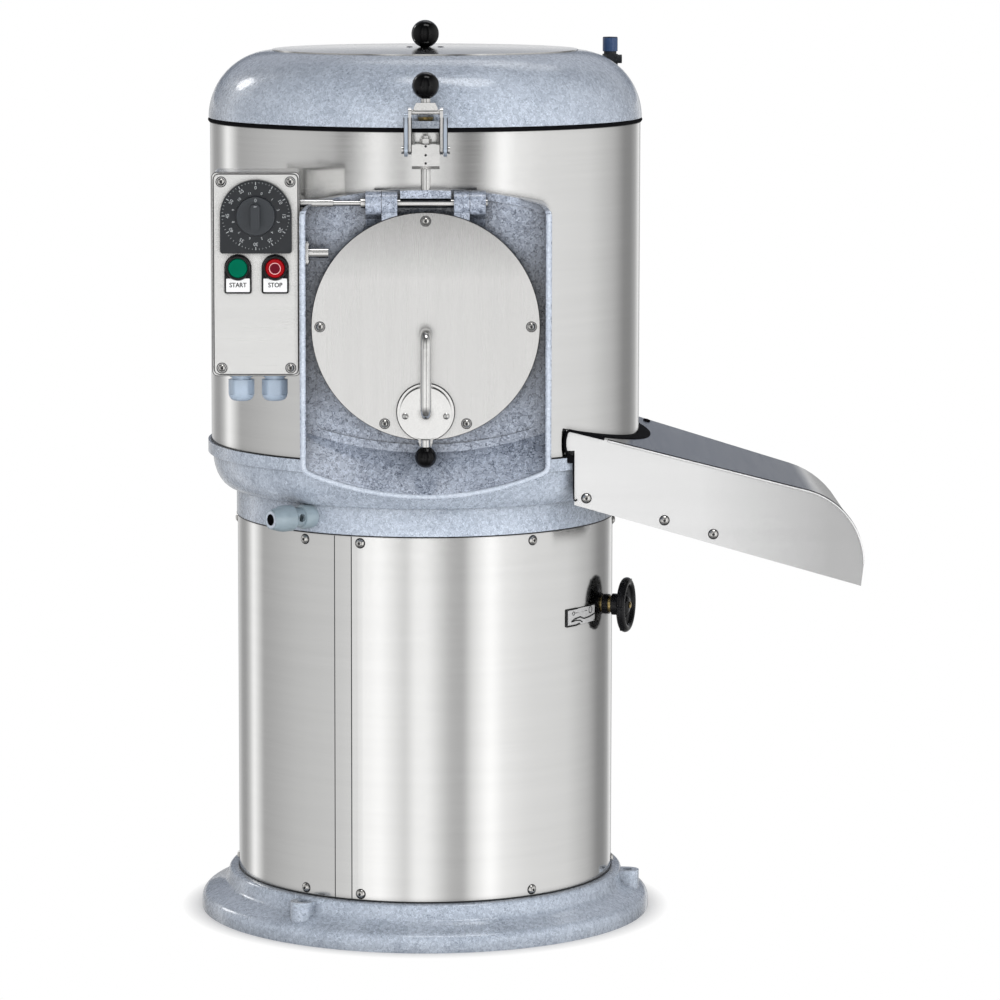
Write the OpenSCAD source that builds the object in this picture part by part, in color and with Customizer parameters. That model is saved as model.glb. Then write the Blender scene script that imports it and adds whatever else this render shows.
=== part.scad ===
// Onion peeling machine: a drum with a turning knife disc on a round cabinet,
// a lift-up lid, a front discharge door and a side chute for the peel.
// Millimetres, Z up, front towards -Y, origin on the floor under the drum axis.

/* [Base] */
// Radius of the base casting on the floor
base_r = 264; // [256:2:290]
// Height of the base casting up to the cabinet sheets
base_h = 48; // [42:1:60]
// Wall of the base casting
base_wall = 8; // [6:0.5:11]
// Distance of the tie-down holes from the middle
tie_ring = 240; // [236:1:246]
// Radius of a tie-down hole
tie_hole = 5.5; // [4:0.5:7]
// Width of a tie-down lug
tie_lug_w = 27; // [22:1:34]
// Azimuth of the first tie-down lug, from the front to the right
tie_az = -36; // [-44:1:-28]

/* [Cabinet] */
// Outer radius of the cabinet sheets
cab_r = 220; // [210:1:228]
// Height of the cabinet sheets
cab_h = 419.5; // [390:0.5:460]
// Thickness of the cabinet sheets
sheet = 1.5; // [1:0.25:2.5]
// Azimuth of the middle of the front seam strip
strip_az = -25.2; // [-29:0.2:-22]
// Width of a seam strip
strip_w = 20; // [14:1:26]
// Radius of a panel screw's head
screw_head = 5.25; // [4:0.25:6]
// Distance of the panel screws from the edge of the sheets
screw_in = 7.6; // [6:0.2:9]

/* [Pan casting] */
// Height of the neck above the cabinet
neck_h = 31; // [26:0.5:44]
// Height of the bowl between the neck and the ring
bowl_h = 41.7; // [34:0.1:50]
// Radius of the ring round the foot of the drum
ring_r = 254; // [253:0.5:256]
// Height of the ring
ring_h = 14; // [12:0.5:24]
// Thickness of the pan's floor
pan_floor = 12; // [8:1:16]

/* [Drum] */
// Outer radius of the drum
drum_r = 250; // [248:0.5:251]
// Height of the drum shell
drum_h = 370; // [350:5:420]
// Thickness of the drum shell
drum_t = 2; // [1.5:0.25:3]
// Wall of the rubber liner
liner_t = 4; // [3:0.5:6]
// Number of half-round ribs in the liner
liner_ribs = 18; // [12:1:24]
// Thickness of the rim gasket
gasket_t = 4.6; // [3:0.2:7]

/* [Lid] */
// Radius of the lid casting's rim
lid_r = 251.5; // [250:0.5:254]
// Rise and edge radius of the lid casting
lid_rise = 77; // [66:1:90]
// Wall of the lid casting
lid_wall = 7; // [5:0.5:9]
// Radius of the stainless lid plate
plate_r = 177; // [160:1:180]
// Crown of the lid plate in the middle
plate_crown = 2; // [1:0.25:4]
// Radius of the lid's ball knob
knob_r = 16; // [13:0.5:20]
// Distance of the lid hinge behind the drum axis
hinge_back = 276; // [273:1:284]

/* [Door frame] */
// Half width of the door frame
frame_w = 139; // [136:0.5:144]
// Distance of the frame's front edge from the drum axis
frame_front = 300; // [296:1:306]
// Wall of the door frame
frame_wall = 6.5; // [5:0.5:8]
// Height of the frame's top above the door's edge
frame_over = 25; // [23:0.5:32]
// Drop of the frame's foot below the foot of the drum
frame_down = 34.5; // [24:0.5:40]
// Distance of the frame plate's face from the drum axis
plate_face = 262; // [260:0.5:264]

/* [Door] */
// Height of the door's middle above the foot of the drum
door_up = 157; // [152:1:162]
// Radius of the door plate
door_r = 126; // [120:0.5:128]
// Distance of the door plate's front from the drum axis
door_face = 288; // [286:0.5:292]
// Radius of the throat that the door closes
throat_r = 108; // [98:1:109]
// Drop of the door hinge below the frame's top
hinge_drop = 15; // [14.6:0.1:16]
// Distance of the door hinge from the drum axis
door_hinge_out = 277; // [276.5:0.5:279]
// Radius of the hinge shaft
shaft_r = 5; // [4:0.25:5.5]
// Diameter of the handle bar
bar_d = 12.2; // [10:0.2:14]
// How far the handle stands off the door
handle_out = 45; // [38:1:55]
// Height between the legs of the handle
handle_h = 100.5; // [94:0.5:108]
// Radius of the lock's base disc
hub_r = 31.6; // [29:0.2:34]
// Length of the lock lever down to the middle of its ball
lock_l = 48.8; // [46:0.2:52]
// Radius of the lock lever's ball
lock_ball_r = 12; // [10:0.5:14]

/* [Lid latch] */
// Distance of the latch from the drum axis
latch_out = 281; // [279:0.5:281]
// Height of the latch pivot above the frame's top
latch_up = 44; // [42:0.5:48]
// Width of the latch block
block_w = 30.5; // [28:0.5:33]
// Length of the latch lever from its pivot to the ball
latch_l = 71; // [68:1:80]
// Radius of the latch ball
latch_ball_r = 15; // [12:0.5:15.5]

/* [Control box] */
// Width of the control box
box_w = 96; // [92:1:110]
// Height of the control box
box_h = 224.5; // [215:0.5:240]
// Distance of the box's front edge from the drum axis
box_front = 288; // [284:0.5:296]
// Depth of the control box
box_d = 76; // [60:1:77]
// Height of the box's top edge above the frame's top
box_over = 19.5; // [14:0.5:26]
// Radius of the timer's dial
dial_r = 39.5; // [34:0.5:41]
// Radius of the timer's knob
timer_r = 22; // [18:0.5:26]
// Radius of a push-button's cap
cap_r = 10.8; // [9:0.2:12]
// Travel of a push-button
press = 4; // [2:0.5:5]
// Radius of a cable gland's nut
gland_r = 15; // [12:0.5:16]
// Radius of a cable gland's bore
gland_bore = 6.5; // [5:0.5:8]

/* [Peel chute] */
// Distance of the chute's near wall from the drum axis
chute_near = 195.5; // [195:0.25:197]
// Reach of the chute from the drum axis
chute_reach = 497; // [470:1:530]
// Slope of the chute's top in degrees
chute_top_slope = 14.2; // [12:0.2:16]
// Slope of the chute's foot in degrees
chute_foot_slope = 15.9; // [14:0.2:18]
// Height of the chute's foot above the neck casting's foot
chute_foot_up = 32.5; // [29:0.5:40]
// Radius of the chute's cut-out round the drum
seal_r = 264; // [260:0.5:270]
// Thickness of the chute's sheet
chute_t = 1.5; // [1:0.25:2.5]

/* [Handwheel] */
// Azimuth of the handwheel, from the front to the right
wheel_az = 73.5; // [70:0.5:80]
// Height of the handwheel's axis above the floor
wheel_z = 368; // [362:1:374]
// Radius of the handwheel
wheel_r = 32; // [28:0.5:40]
// Radius of the adjusting screw
screw_r = 5; // [4:0.25:5.5]

/* [Fittings] */
// Azimuth of the inlet fitting, from the front to the right
inlet_az = -36.8; // [-46:0.2:-32]
// Bore radius of the inlet fitting
inlet_bore = 6.5; // [5:0.25:8]
// Length of the inlet fitting outside the neck
inlet_l = 54; // [48:1:64]
// Radius of the air pipe
pipe_r = 8; // [6:0.5:9]
// Bore radius of the push-in air fitting
air_bore = 4; // [3:0.5:5]

/* [Drive] */
// Radius of the spindle
spindle_r = 12.5; // [10:0.5:14]
// Outer radius of the spindle bearings
bearing_r = 26; // [24:0.5:30]
// Width of a spindle bearing
bearing_w = 15; // [12:1:18]
// Lift of the knife disc between small and large onions
lift = 6; // [4:0.5:8]
// Radius of the knife disc
disc_r = 230; // [220:1:233]
// Number of knives on the disc
knives = 6; // [3:1:8]
// Distance from the spindle to the motor
motor_off = 125; // [115:1:130]
// Radius of the motor
motor_r = 68; // [60:1:75]
// Height of the motor
motor_h = 190; // [170:5:198]
// Radius of the motor pulley
motor_pulley_r = 36; // [30:1:42]
// Radius of the spindle pulley
spindle_pulley_r = 66; // [60:1:72]

/* [Hidden] */
$fn = 96;
// Clearance between pieces that lie against each other on curved faces
seat = 0.3;
// Radial clearance of a shaft in its bearing
run = 0.04;
// Overlap that makes a cut run past the face it cuts
cut = 1;

// Colours as the photograph shows them
paint = [0.63, 0.68, 0.75];
steel = [0.80, 0.80, 0.79];
dark_steel = [0.45, 0.46, 0.48];
black = [0.05, 0.05, 0.06];
rubber = [0.09, 0.09, 0.10];
brass = [0.78, 0.66, 0.42];
gland_blue = [0.60, 0.68, 0.78];

// Levels from the floor upwards
cab_z0 = base_h + seat;
cab_z1 = cab_z0 + cab_h;
neck_z = cab_z1 + 1.5;
bowl_z = neck_z + neck_h;
ring_z = bowl_z + bowl_h;
ring_top = ring_z + ring_h;
drum_z = ring_top + 0.7;
drum_top = drum_z + drum_h;
gasket_top = drum_top + gasket_t;
lid_z = gasket_top + seat;
lid_top = lid_z + lid_rise;
door_z = drum_z + door_up;
frame_top = door_z + door_r + frame_over;
frame_foot = drum_z - frame_down;
hinge_z = frame_top - hinge_drop;
lid_hinge_z = drum_top + 3.5;
box_z1 = frame_top + box_over;
box_z0 = box_z1 - box_h;
latch_z = frame_top + latch_up;

// Base and cabinet
spigot_r = cab_r - sheet - seat;
spigot_wall = 8;
spigot_up = 24;
pan_spigot_down = 24;
strip_half = strip_w / 2 / cab_r * 180 / PI;
seam_gap = 0.4 / cab_r * 180 / PI;
rear_az = 180;
screw_pitch = 53.4;
front_screw_az = -19.7;
side_screw_az = -38.5;
front_screws = [for (i = [0:3]) front_screw_az + i * screw_pitch];
side_screws = [for (i = [0:2]) side_screw_az - i * screw_pitch];
pillar_az = [24, 144, 264];
pillar_r = 11;
pillar_ring = cab_r - 28;
shelf_z0 = 14;
shelf_z1 = 24;
neck_r = cab_r + 1;

// Pan, drum and liner
pan_top = neck_z + 41;
pan_under = pan_top - pan_floor;
quill_r = bearing_r + 6;
housing_r = quill_r + 14;
drum_in = drum_r - drum_t;
pan_lip = 19;
rim_w = 10;
rim_h = 6;
liner_r = drum_in - seat;
peel_az = 88;
peel_half = 30;

// Lid hinge
lug_x0 = 38;
lug_x1 = 58;
bracket_x0 = lug_x1 + 0.4;
bracket_x1 = bracket_x0 + 11.6;
lid_pin_r = 5;

// Door frame and door
frame_back = 200;
plate_t = 8;
foot_arc = 341;
top_arc = 528;
frame_corner = 14;
border_w = 10;
border_t = 2;
ramp_z = door_z + 265;
ear_r = 13.5;
ear_x0 = 31.3;
ear_x1 = 48.5;
ear_gap = 0.6;
frame_ear_x1 = 66.3;
ledge_w = 56;
door_plate_t = 2;
door_cast_t = 18;
door_cast_r = door_r - 4;
plug_r = throat_r - 4;
plug_back = plate_face - 12;
hub_z = door_z - 94.7;
hub_face = door_face + 3;
lever_t = 8;
cap_face = hub_face + lever_t + 0.6;
cap_t = 4;
lock_pin_r = 8;

// Control box
box_x1 = -frame_w - seat;
box_x0 = box_x1 - box_w;
box_wall = 2;
cover_in = 2;
cover_t = 2;
cover_face = box_front + cover_t;
timer_x = box_x0 + 48.2;
timer_z = box_z1 - 47.2;
bezel_t = 2;
button_z = timer_z - 57.6;
start_x = timer_x - 20;
stop_x = timer_x + 21.1;
bezel_ring = 6;
gland_y = -(box_front - 38);
gland_x = [box_x0 + 29.9, box_x0 + 67];

// Chute
chute_foot_z = neck_z + chute_foot_up;
chute_x0 = 170;
chute_far_dir = 28.6;
chute_far_x = 122;
chute_far_y = 225;
chute_under = 160;
chute_over = 150;
chute_h = 83;
floor_up = 7;
floor_x1 = 362;

// Adjuster, housing and drive
wedge_slope = 3;
wedge_travel = lift * wedge_slope;
wedge_r0 = 50;
wedge_r1 = 100;
wedge_w = 22;
wedge_top = wheel_z + 10;
wedge_foot = wheel_z - 12;
quill_z0 = wedge_top + 8;
quill_z1 = pan_top + 12;
housing_z0 = quill_z0 + 12 + lift + 2;
disc_z = pan_top + 26;
disc_t = 6;
pulley_z = wedge_foot - 66;
pulley_h = 34;
belt_h = 22;
belt_t = 5;
motor_az = 204;
motor_plate_z = pulley_z - 20;
motor_plate_t = 8;
inlet_z = neck_z + 18;
inlet_dir = -51.9;
pipe_x = 222;
pipe_y = 172;
pipe_z0 = drum_z + 60;
pipe_z1 = lid_top - 24;

// Points of an arc from angle a0 to a1
function arc(cx, cy, r, a0, a1, n = 8) =
    [for (i = [0:n]) [cx + r * cos(a0 + (a1 - a0) * i / n), cy + r * sin(a0 + (a1 - a0) * i / n)]];

// Outline of the door frame seen from the front: two straight sides, an arched
// top and foot, and four corners of radius rf that run into both
function shield(w, zt, rt, zb, rb, rf) =
    let (ct = zt - rt,
        cb = zb + rb,
        tx = w - rf,
        tz = ct + sqrt(pow(rt - rf, 2) - tx * tx),
        bz = cb - sqrt(pow(rb - rf, 2) - tx * tx),
        at = atan2(tz - ct, tx),
        ab = atan2(bz - cb, tx))
    concat(arc(tx, bz, rf, ab, 0, 5), arc(tx, tz, rf, 0, at, 5),
        arc(0, ct, rt, at, 180 - at, 16), arc(-tx, tz, rf, 180 - at, 180, 5),
        arc(-tx, bz, rf, 180, 180 - ab, 5), arc(0, cb, rb, 180 - ab, 360 + ab, 20));

// Puts what is drawn towards the front on the axis of the inlet stub
module at_inlet() {
    translate([neck_r * sin(inlet_az), -neck_r * cos(inlet_az), inlet_z]) rotate([0, 0, inlet_dir])
        children();
}

// Turns what is drawn towards the front to an azimuth
module at_az(a) {
    rotate([0, 0, a]) children();
}

// Extrudes an X-Z outline from y0 (front) to y1 (back)
module along_y(y0, y1) {
    translate([0, y1, 0]) rotate([90, 0, 0]) linear_extrude(y1 - y0) children();
}

// Extrudes a Y-Z outline from x0 to x1
module along_x(x0, x1) {
    translate([x0, 0, 0]) rotate([90, 0, 90]) linear_extrude(x1 - x0) children();
}

// Cylinder along Y from y0 (front) to y1 (back)
module y_rod(r, y0, y1) {
    translate([0, y1, 0]) rotate([90, 0, 0]) cylinder(r = r, h = y1 - y0);
}

// Cylinder along X from x0 to x1
module x_rod(r, x0, x1) {
    translate([x0, 0, 0]) rotate([0, 90, 0]) cylinder(r = r, h = x1 - x0);
}

// Cylinder along Z from z0 to z1
module z_rod(r, z0, z1) {
    translate([0, 0, z0]) cylinder(r = r, h = z1 - z0);
}

// Box between two corners
module block(a, b) {
    translate(a) cube(b - a);
}

// Turned ring between two radii and two heights, over a range of azimuths
module ring(r0, r1, z0, z1, a0 = 0, a1 = 360) {
    rotate([0, 0, a0 - 90]) rotate_extrude(angle = a1 - a0)
        translate([r0, z0]) square([r1 - r0, z1 - z0]);
}

// Rectangle with round corners, centred
module pill(w, h, r, $fn = 24) {
    polygon(concat(arc(w / 2 - r, h / 2 - r, r, 0, 90, 4), arc(r - w / 2, h / 2 - r, r, 90, 180, 4),
        arc(r - w / 2, r - h / 2, r, 180, 270, 4), arc(w / 2 - r, r - h / 2, r, 270, 360, 4)));
}

// Low domed screw head with a hexagon socket, its seat on y = 0, towards -Y
module button_head(r) {
    difference() {
        rotate([90, 0, 0]) rotate_extrude($fn = 32)
            polygon(concat([[0, 0], [r, 0]], arc(0, -0.5 * r, 1.12 * r, 26.5, 90, 5)));
        y_rod(r * 0.34, -r, -r * 0.28, $fn = 6);
    }
}

// Base ring with a rounded shoulder, a groove and an upstand, and three lugs
module base_casting() {
    shoulder = 12;
    top_r = cab_r + 11;
    color(paint) difference() {
        union() {
            rotate_extrude() polygon(concat(
                [[base_r - 10, 0], [base_r, 0]],
                arc(base_r - shoulder, 10, shoulder, 0, 78, 6),
                [[top_r + 14, base_h - 21.5], [top_r + 6, base_h - 18], [top_r + 3, base_h - 14.5]],
                arc(top_r - 4, base_h - 5, 5, 10, 90, 4),
                [[spigot_r, base_h], [spigot_r, base_h + spigot_up],
                [spigot_r - spigot_wall, base_h + spigot_up], [spigot_r - spigot_wall, shelf_z1],
                [pillar_ring - 26, shelf_z1], [pillar_ring - 26, shelf_z0],
                [base_r - 34, shelf_z0], [base_r - base_wall - 4, 8]]));
            for (i = [0:2]) at_az(tie_az + i * 120) tie_lug();
        }
        for (i = [0:2]) at_az(tie_az + i * 120)
            translate([0, -tie_ring, -cut]) cylinder(r = tie_hole, h = base_h + 2 * cut);
    }
}

// Flat lug from the upstand out to its tie-down hole, solid down to the floor
module tie_lug() {
    linear_extrude(base_h - 3) {
        translate([-tie_lug_w / 2, -tie_ring]) square([tie_lug_w, tie_ring - cab_r - 4]);
        translate([0, -tie_ring]) circle(r = tie_lug_w / 2, $fn = 48);
    }
}

// One cabinet sheet between two azimuths, drilled for its screws
module cabinet_sheet(a0, a1, screws) {
    difference() {
        ring(cab_r - sheet, cab_r, cab_z0, cab_z1, a0, a1);
        for (a = screws, z = [cab_z0 + screw_in, cab_z1 - screw_in])
            at_az(a) translate([0, 0, z]) y_rod(screw_head * 0.6, -cab_r - cut, -cab_r + 2 * sheet);
    }
}

module side_panel() {
    color(steel) cabinet_sheet(rear_az + strip_half + seam_gap - 360,
        strip_az - strip_half - seam_gap, side_screws);
}

module service_panel() {
    color(steel) difference() {
        cabinet_sheet(strip_az + strip_half + 2 * seam_gap, rear_az - strip_half - seam_gap,
            front_screws);
        at_az(wheel_az) translate([0, 0, wheel_z]) y_rod(screw_r + 3.3, -cab_r - cut, -cab_r + 2 * sheet);
    }
}

// Flush strips that fill the two seams, each with a backing bar behind the sheets
module seam_strips() {
    color(steel) for (a = [strip_az, rear_az]) {
        ring(cab_r - sheet, cab_r, cab_z0, cab_z1, a - strip_half, a + strip_half);
        ring(cab_r - 2 * sheet - seat, cab_r - sheet, cab_z0 + spigot_up + 2, cab_z1 - pan_spigot_down - 2,
            a - strip_half, a + strip_half);
    }
}

// Button-head screws of the cabinet sheets and of the peel chute
module panel_screws() {
    color(steel) {
        for (a = concat(front_screws, side_screws), z = [cab_z0 + screw_in, cab_z1 - screw_in])
            at_az(a) translate([0, -cab_r - 0.1, z]) button_head(screw_head);
        for (x = [182, 270.5, 326])
            translate([x, -chute_near - 0.05, chute_foot_z + floor_up + 4.5
                - (x - chute_x0) * tan(chute_foot_slope)]) button_head(screw_head);
    }
}

// Three posts that carry the pan casting and the motor plate on the base
module support_pillars() {
    color(dark_steel) for (a = pillar_az) at_az(a) translate([0, -pillar_ring, 0]) {
        z_rod(pillar_r, shelf_z1, pan_under);
        z_rod(pillar_r + 5, motor_plate_z - 8, motor_plate_z);
    }
}

// Casting with the neck, the bowl, the ring under the drum and the pan's floor,
// open at the right for the peel
module pan_casting() {
    bowl_out = drum_r - 1.8;
    bowl_w = bowl_out - neck_r - 2;
    color(paint) difference() {
        rotate_extrude() polygon(concat(
            [[spigot_r - spigot_wall, neck_z - pan_spigot_down], [spigot_r, neck_z - pan_spigot_down],
            [spigot_r, neck_z], [neck_r, neck_z], [neck_r, bowl_z], [neck_r + 2, bowl_z + 0.5]],
            [for (i = [1:8]) [neck_r + 2 + bowl_w * sin(i * 11.25),
                bowl_z + 0.5 + (bowl_h - 2) * (1 - cos(i * 11.25))]],
            [[ring_r, ring_z], [ring_r, ring_top], [drum_in - seat, ring_top],
            [drum_in - seat, ring_top + pan_lip], [drum_in - 7, ring_top + pan_lip],
            [drum_in - 7, ring_z + 4]],
            [for (i = [8:-1:1]) [neck_r - 8 + (drum_in - 7 - neck_r + 8) * sin(i * 11.25),
                pan_top + (ring_z + 4 - pan_top) * (1 - cos(i * 11.25))]],
            [[neck_r - 10, pan_top], [housing_r + 12, pan_top], [housing_r + 12, pan_top + 8],
            [housing_r + seat, pan_top + 8], [housing_r + seat, pan_under],
            [spigot_r - spigot_wall, pan_under]]));
        ring(neck_r - 12, ring_r + cut, pan_top + 3, ring_top - 5, peel_az - peel_half,
            peel_az + peel_half);
        at_inlet() y_rod(inlet_bore, -5, 24);
    }
}

// Rolled drum shell with a stiffened rim and the hole for the door's throat
module drum_shell() {
    color(steel) difference() {
        rotate_extrude() polygon([[drum_in, drum_z], [drum_r, drum_z], [drum_r, drum_top],
            [drum_in - rim_w, drum_top], [drum_in - rim_w, drum_top - rim_h],
            [drum_in, drum_top - rim_h]]);
        translate([0, 0, door_z]) y_rod(throat_r + 5.3, -drum_r - 10, -100);
    }
}

// Ribbed rubber wall inside the drum
module drum_liner() {
    z0 = ring_top + pan_lip + 0.5;
    z1 = drum_top - rim_h - seat;
    color(rubber) difference() {
        translate([0, 0, z0]) linear_extrude(z1 - z0) difference() {
            circle(r = liner_r);
            difference() {
                circle(r = liner_r - liner_t);
                for (i = [0:liner_ribs - 1]) rotate((i + 0.5) * 360 / liner_ribs)
                    translate([0, -liner_r + liner_t]) circle(r = liner_t * 0.9, $fn = 24);
            }
        }
        translate([0, 0, door_z]) y_rod(throat_r + 5.6, -drum_r - 10, -100);
    }
}

module drum_gasket() {
    color(rubber) rotate_extrude() polygon(concat(
        [[drum_in - rim_w, drum_top]],
        arc(drum_r, drum_top + gasket_t / 2, gasket_t / 2, -90, 90, 6),
        [[drum_in - rim_w, gasket_top]]));
}

// Door frame casting: a box with a plate in the middle, a ramp at its foot, the
// throat through the drum wall, two hinge ears and the ledge under the lid latch
module door_frame() {
    inner = shield(frame_w - frame_wall, frame_top - 1, top_arc, frame_foot + 1, foot_arc, 12);
    back = shield(frame_w - frame_wall, frame_top - frame_wall, top_arc,
        frame_foot + frame_wall, foot_arc, 8);
    border = shield(frame_w - frame_wall - border_w, frame_top - frame_wall - 2, top_arc,
        door_z - 134, 400, 10);
    ramp_back = ramp_z - door_z + 143;
    ramp_front = ramp_z - frame_foot - frame_wall;
    color(paint) difference() {
        union() {
            difference() {
                along_y(-frame_front, -frame_back)
                    polygon(shield(frame_w, frame_top, top_arc, frame_foot, foot_arc, frame_corner));
                intersection() {
                    along_y(-frame_front - cut, -plate_face - border_t) polygon(inner);
                    translate([0, -plate_face - border_t, ramp_z]) rotate([90, 0, 0])
                        cylinder(r1 = ramp_back, r2 = ramp_front + 2, $fn = 180,
                            h = frame_front - plate_face - border_t + cut);
                }
                along_y(-plate_face - border_t - cut, -plate_face) polygon(border);
                along_y(-plate_face + plate_t, -frame_back + cut) polygon(back);
                along_x(-frame_w - cut, frame_w + cut) polygon([
                    [-frame_front - cut, frame_top - 22], [-plate_face - border_t, frame_top - 11],
                    [-plate_face - border_t, frame_top + cut], [-frame_front - cut, frame_top + cut]]);
                z_rod(drum_r + seat, ring_top - cut, frame_top + cut, $fn = 180);
                pan_room(seat);
            }
            difference() {
                translate([0, 0, door_z]) y_rod(throat_r + 5, -plate_face, -frame_back);
                z_rod(drum_in - liner_t - 5, door_z - throat_r - 9, door_z + throat_r + 9, $fn = 180);
            }
            intersection() {
                block([-ledge_w / 2, -latch_out - 5.8, frame_top - 9],
                    [ledge_w / 2, -plate_face, frame_top + cut]);
                along_y(-frame_front, -frame_back)
                    polygon(shield(frame_w, frame_top, top_arc, frame_foot, foot_arc, frame_corner));
            }
            for (s = [0, 1]) mirror([s, 0, 0]) frame_ear();
        }
        translate([0, 0, door_z]) y_rod(throat_r, -plate_face - 10, -frame_back + 20);
        translate([0, -door_hinge_out, hinge_z]) {
            x_rod(shaft_r + run, -frame_ear_x1 - cut, frame_ear_x1 + cut);
            x_rod(shaft_r, -frame_w - cut, -frame_w + 4 * frame_wall);
        }
    }
}

// Ear that holds one end of the hinge shaft, on a pad down the plate
module frame_ear() {
    along_x(ear_x1 + ear_gap, frame_ear_x1) {
        translate([-door_hinge_out, hinge_z]) circle(r = ear_r);
        polygon([[-door_hinge_out, hinge_z + ear_r], [-plate_face + 1, hinge_z + ear_r],
            [-plate_face + 1, hinge_z - 26], [-plate_face - 4, hinge_z - 26],
            [-plate_face - 6, hinge_z - 18], [-door_hinge_out - 8, hinge_z - 10.5]]);
    }
}

// Room taken by the pan casting, widened by c
module pan_room(c) {
    rotate_extrude($fn = 180) polygon([[0, neck_z - 40], [neck_r + c, neck_z - 40],
        [neck_r + c, bowl_z - c], [neck_r + 16, bowl_z + 2 - c], [ring_r - 3 + c, bowl_z + 14],
        [ring_r - 3 + c, ring_z - 2 - c], [ring_r + c, ring_z - 2 - c], [ring_r + c, ring_top + c],
        [0, ring_top + c]]);
}

// Switch pin on its flange, on the frame's left wall
module door_sensor() {
    wall_x = -frame_w + frame_wall;
    color(steel) translate([wall_x, -frame_front + 18, door_z + 81.5]) {
        along_x(0, 3) pill(15, 28, 4);
        for (z = [-9.5, 9.5]) translate([3, 0, z]) rotate([0, 0, 90]) button_head(2.6);
        difference() {
            x_rod(5.75, 2, 25);
            block([8, -6, 0.6], [26, -4.8, 1.8]);
        }
    }
}

// Post on the frame's ledge, and the stud and nut on top of the latch block
module latch_post() {
    color(steel) translate([0, -latch_out, 0]) {
        z_rod(5.5, frame_top, latch_z - 20.7);
        z_rod(4, latch_z + 6.3, latch_z + 15.5);
        translate([0, 0, latch_z + 7.5]) cylinder(r = 6.8, h = 5, $fn = 6);
    }
}

// Block that carries the latch's pivot pin
module latch_block() {
    w = block_w / 2;
    color(steel) translate([0, -latch_out, latch_z]) {
        difference() {
            along_x(-w, w) polygon([[-9.5, 6.3], [9.5, 6.3], [9.5, -20.7], [-6.5, -20.7], [-9.5, -17.2]]);
            for (z = [4.6, -5.2, -14.2]) translate([0, 0, z]) y_rod(1.2, -12, -8.3, $fn = 16);
        }
        x_rod(3, -w - 9.4, w + 9.4);
        for (s = [0, 1]) mirror([s, 0, 0]) x_rod(4.4, w + 8.8, w + 11.4);
    }
}

// Two painted side arms of the latch, carried on the pivot pin
module latch_arms() {
    x0 = block_w / 2 + 4.4;
    color(paint) translate([0, -latch_out, latch_z]) difference() {
        for (s = [0, 1]) mirror([s, 0, 0]) along_x(x0, x0 + 4) {
            circle(r = 7.4, $fn = 48);
            polygon([[-7.2, -1.5], [7.2, -1.5], [6, 28], [4.2, 38], [-4.2, 38], [-6, 28]]);
            translate([0, 36.5]) circle(r = 4.4, $fn = 48);
        }
        x_rod(3 + run, -x0 - 6, x0 + 6);
    }
}

// Two steel side plates with the roller, the head plate and the shank
module latch_lever() {
    x0 = block_w / 2 + 0.5;
    roller_z = 41.8;
    color(steel) translate([0, -latch_out, latch_z]) {
        difference() {
            for (s = [0, 1]) mirror([s, 0, 0]) along_x(x0, x0 + 3.4) {
                circle(r = 5, $fn = 48);
                polygon([[-5, 0], [5, 0], [5, roller_z], [-5, roller_z]]);
                translate([0, roller_z]) circle(r = 5, $fn = 48);
            }
            x_rod(3 + run, -x0 - 6, x0 + 6);
        }
        translate([0, 0, roller_z]) x_rod(3.1, -x0 - 1, x0 + 1);
        along_y(-7, 7) polygon([[-12.8, roller_z + 2], [12.8, roller_z + 2], [13.2, roller_z + 5],
            [10.4, roller_z + 10.4], [-10.4, roller_z + 10.4], [-13.2, roller_z + 5]]);
        z_rod(5.75, roller_z + 9, latch_l - latch_ball_r * 0.96);
    }
}

// Ball with a flat at its shank
module ball(r) {
    difference() {
        sphere(r = r);
        translate([0, 0, -1.95 * r]) cylinder(r = r, h = r);
    }
}

module latch_ball() {
    color(black) translate([0, -latch_out, latch_z + latch_l]) ball(latch_ball_r);
}

// Lid casting: quarter-round dome, flat top ring, hinge lugs and the catch's lug
module lid_casting() {
    cx = lid_r - lid_rise;
    lug_front = lid_r + 12;
    lug_h = 8;
    color(paint) difference() {
        union() {
            rotate_extrude($fn = 180) difference() {
                union() {
                    translate([cx, lid_z]) intersection() {
                        circle(r = lid_rise, $fn = 180);
                        square([lid_rise + cut, lid_rise + cut]);
                    }
                    translate([plate_r - 27, lid_top - lid_wall]) square([cx - plate_r + 28, lid_wall]);
                }
                translate([cx, lid_z]) circle(r = lid_rise - lid_wall, $fn = 180);
                translate([plate_r - 28, lid_top - 1]) square([28 + seat, 2]);
            }
            block([-block_w / 2 + 0.2, -lug_front, lid_z], [block_w / 2 - 0.2, -lid_r + 4, lid_z + lug_h]);
            for (s = [0, 1]) mirror([s, 0, 0]) lid_lug();
        }
        translate([0, -lug_front + 9.5, lid_z + lug_h]) cylinder(r = 9.4, h = 14);
        translate([0, hinge_back, lid_hinge_z]) x_rod(lid_pin_r + run, -lug_x1 - cut, lug_x1 + cut);
    }
}

// Hinge lug behind the lid
module lid_lug() {
    along_x(lug_x0, lug_x1) {
        translate([hinge_back, lid_hinge_z]) circle(r = 11);
        polygon([[lid_r - 6, lid_z], [lid_r + 2.5, lid_z], [hinge_back - 8, lid_hinge_z - 7],
            [hinge_back, lid_hinge_z + 11], [hinge_back - 9, lid_z + 16], [lid_r - 6, lid_z + 22]]);
    }
}

// Thin domed stainless plate on the lid
module lid_plate() {
    n = 8;
    z0 = lid_top - 1;
    color(steel) rotate_extrude($fn = 180) polygon(concat([[0, z0], [plate_r, z0]],
        [for (i = [n:-1:0]) [plate_r * i / n, z0 + 2.4 + plate_crown * (1 - pow(i / n, 2))]]));
}

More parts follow.
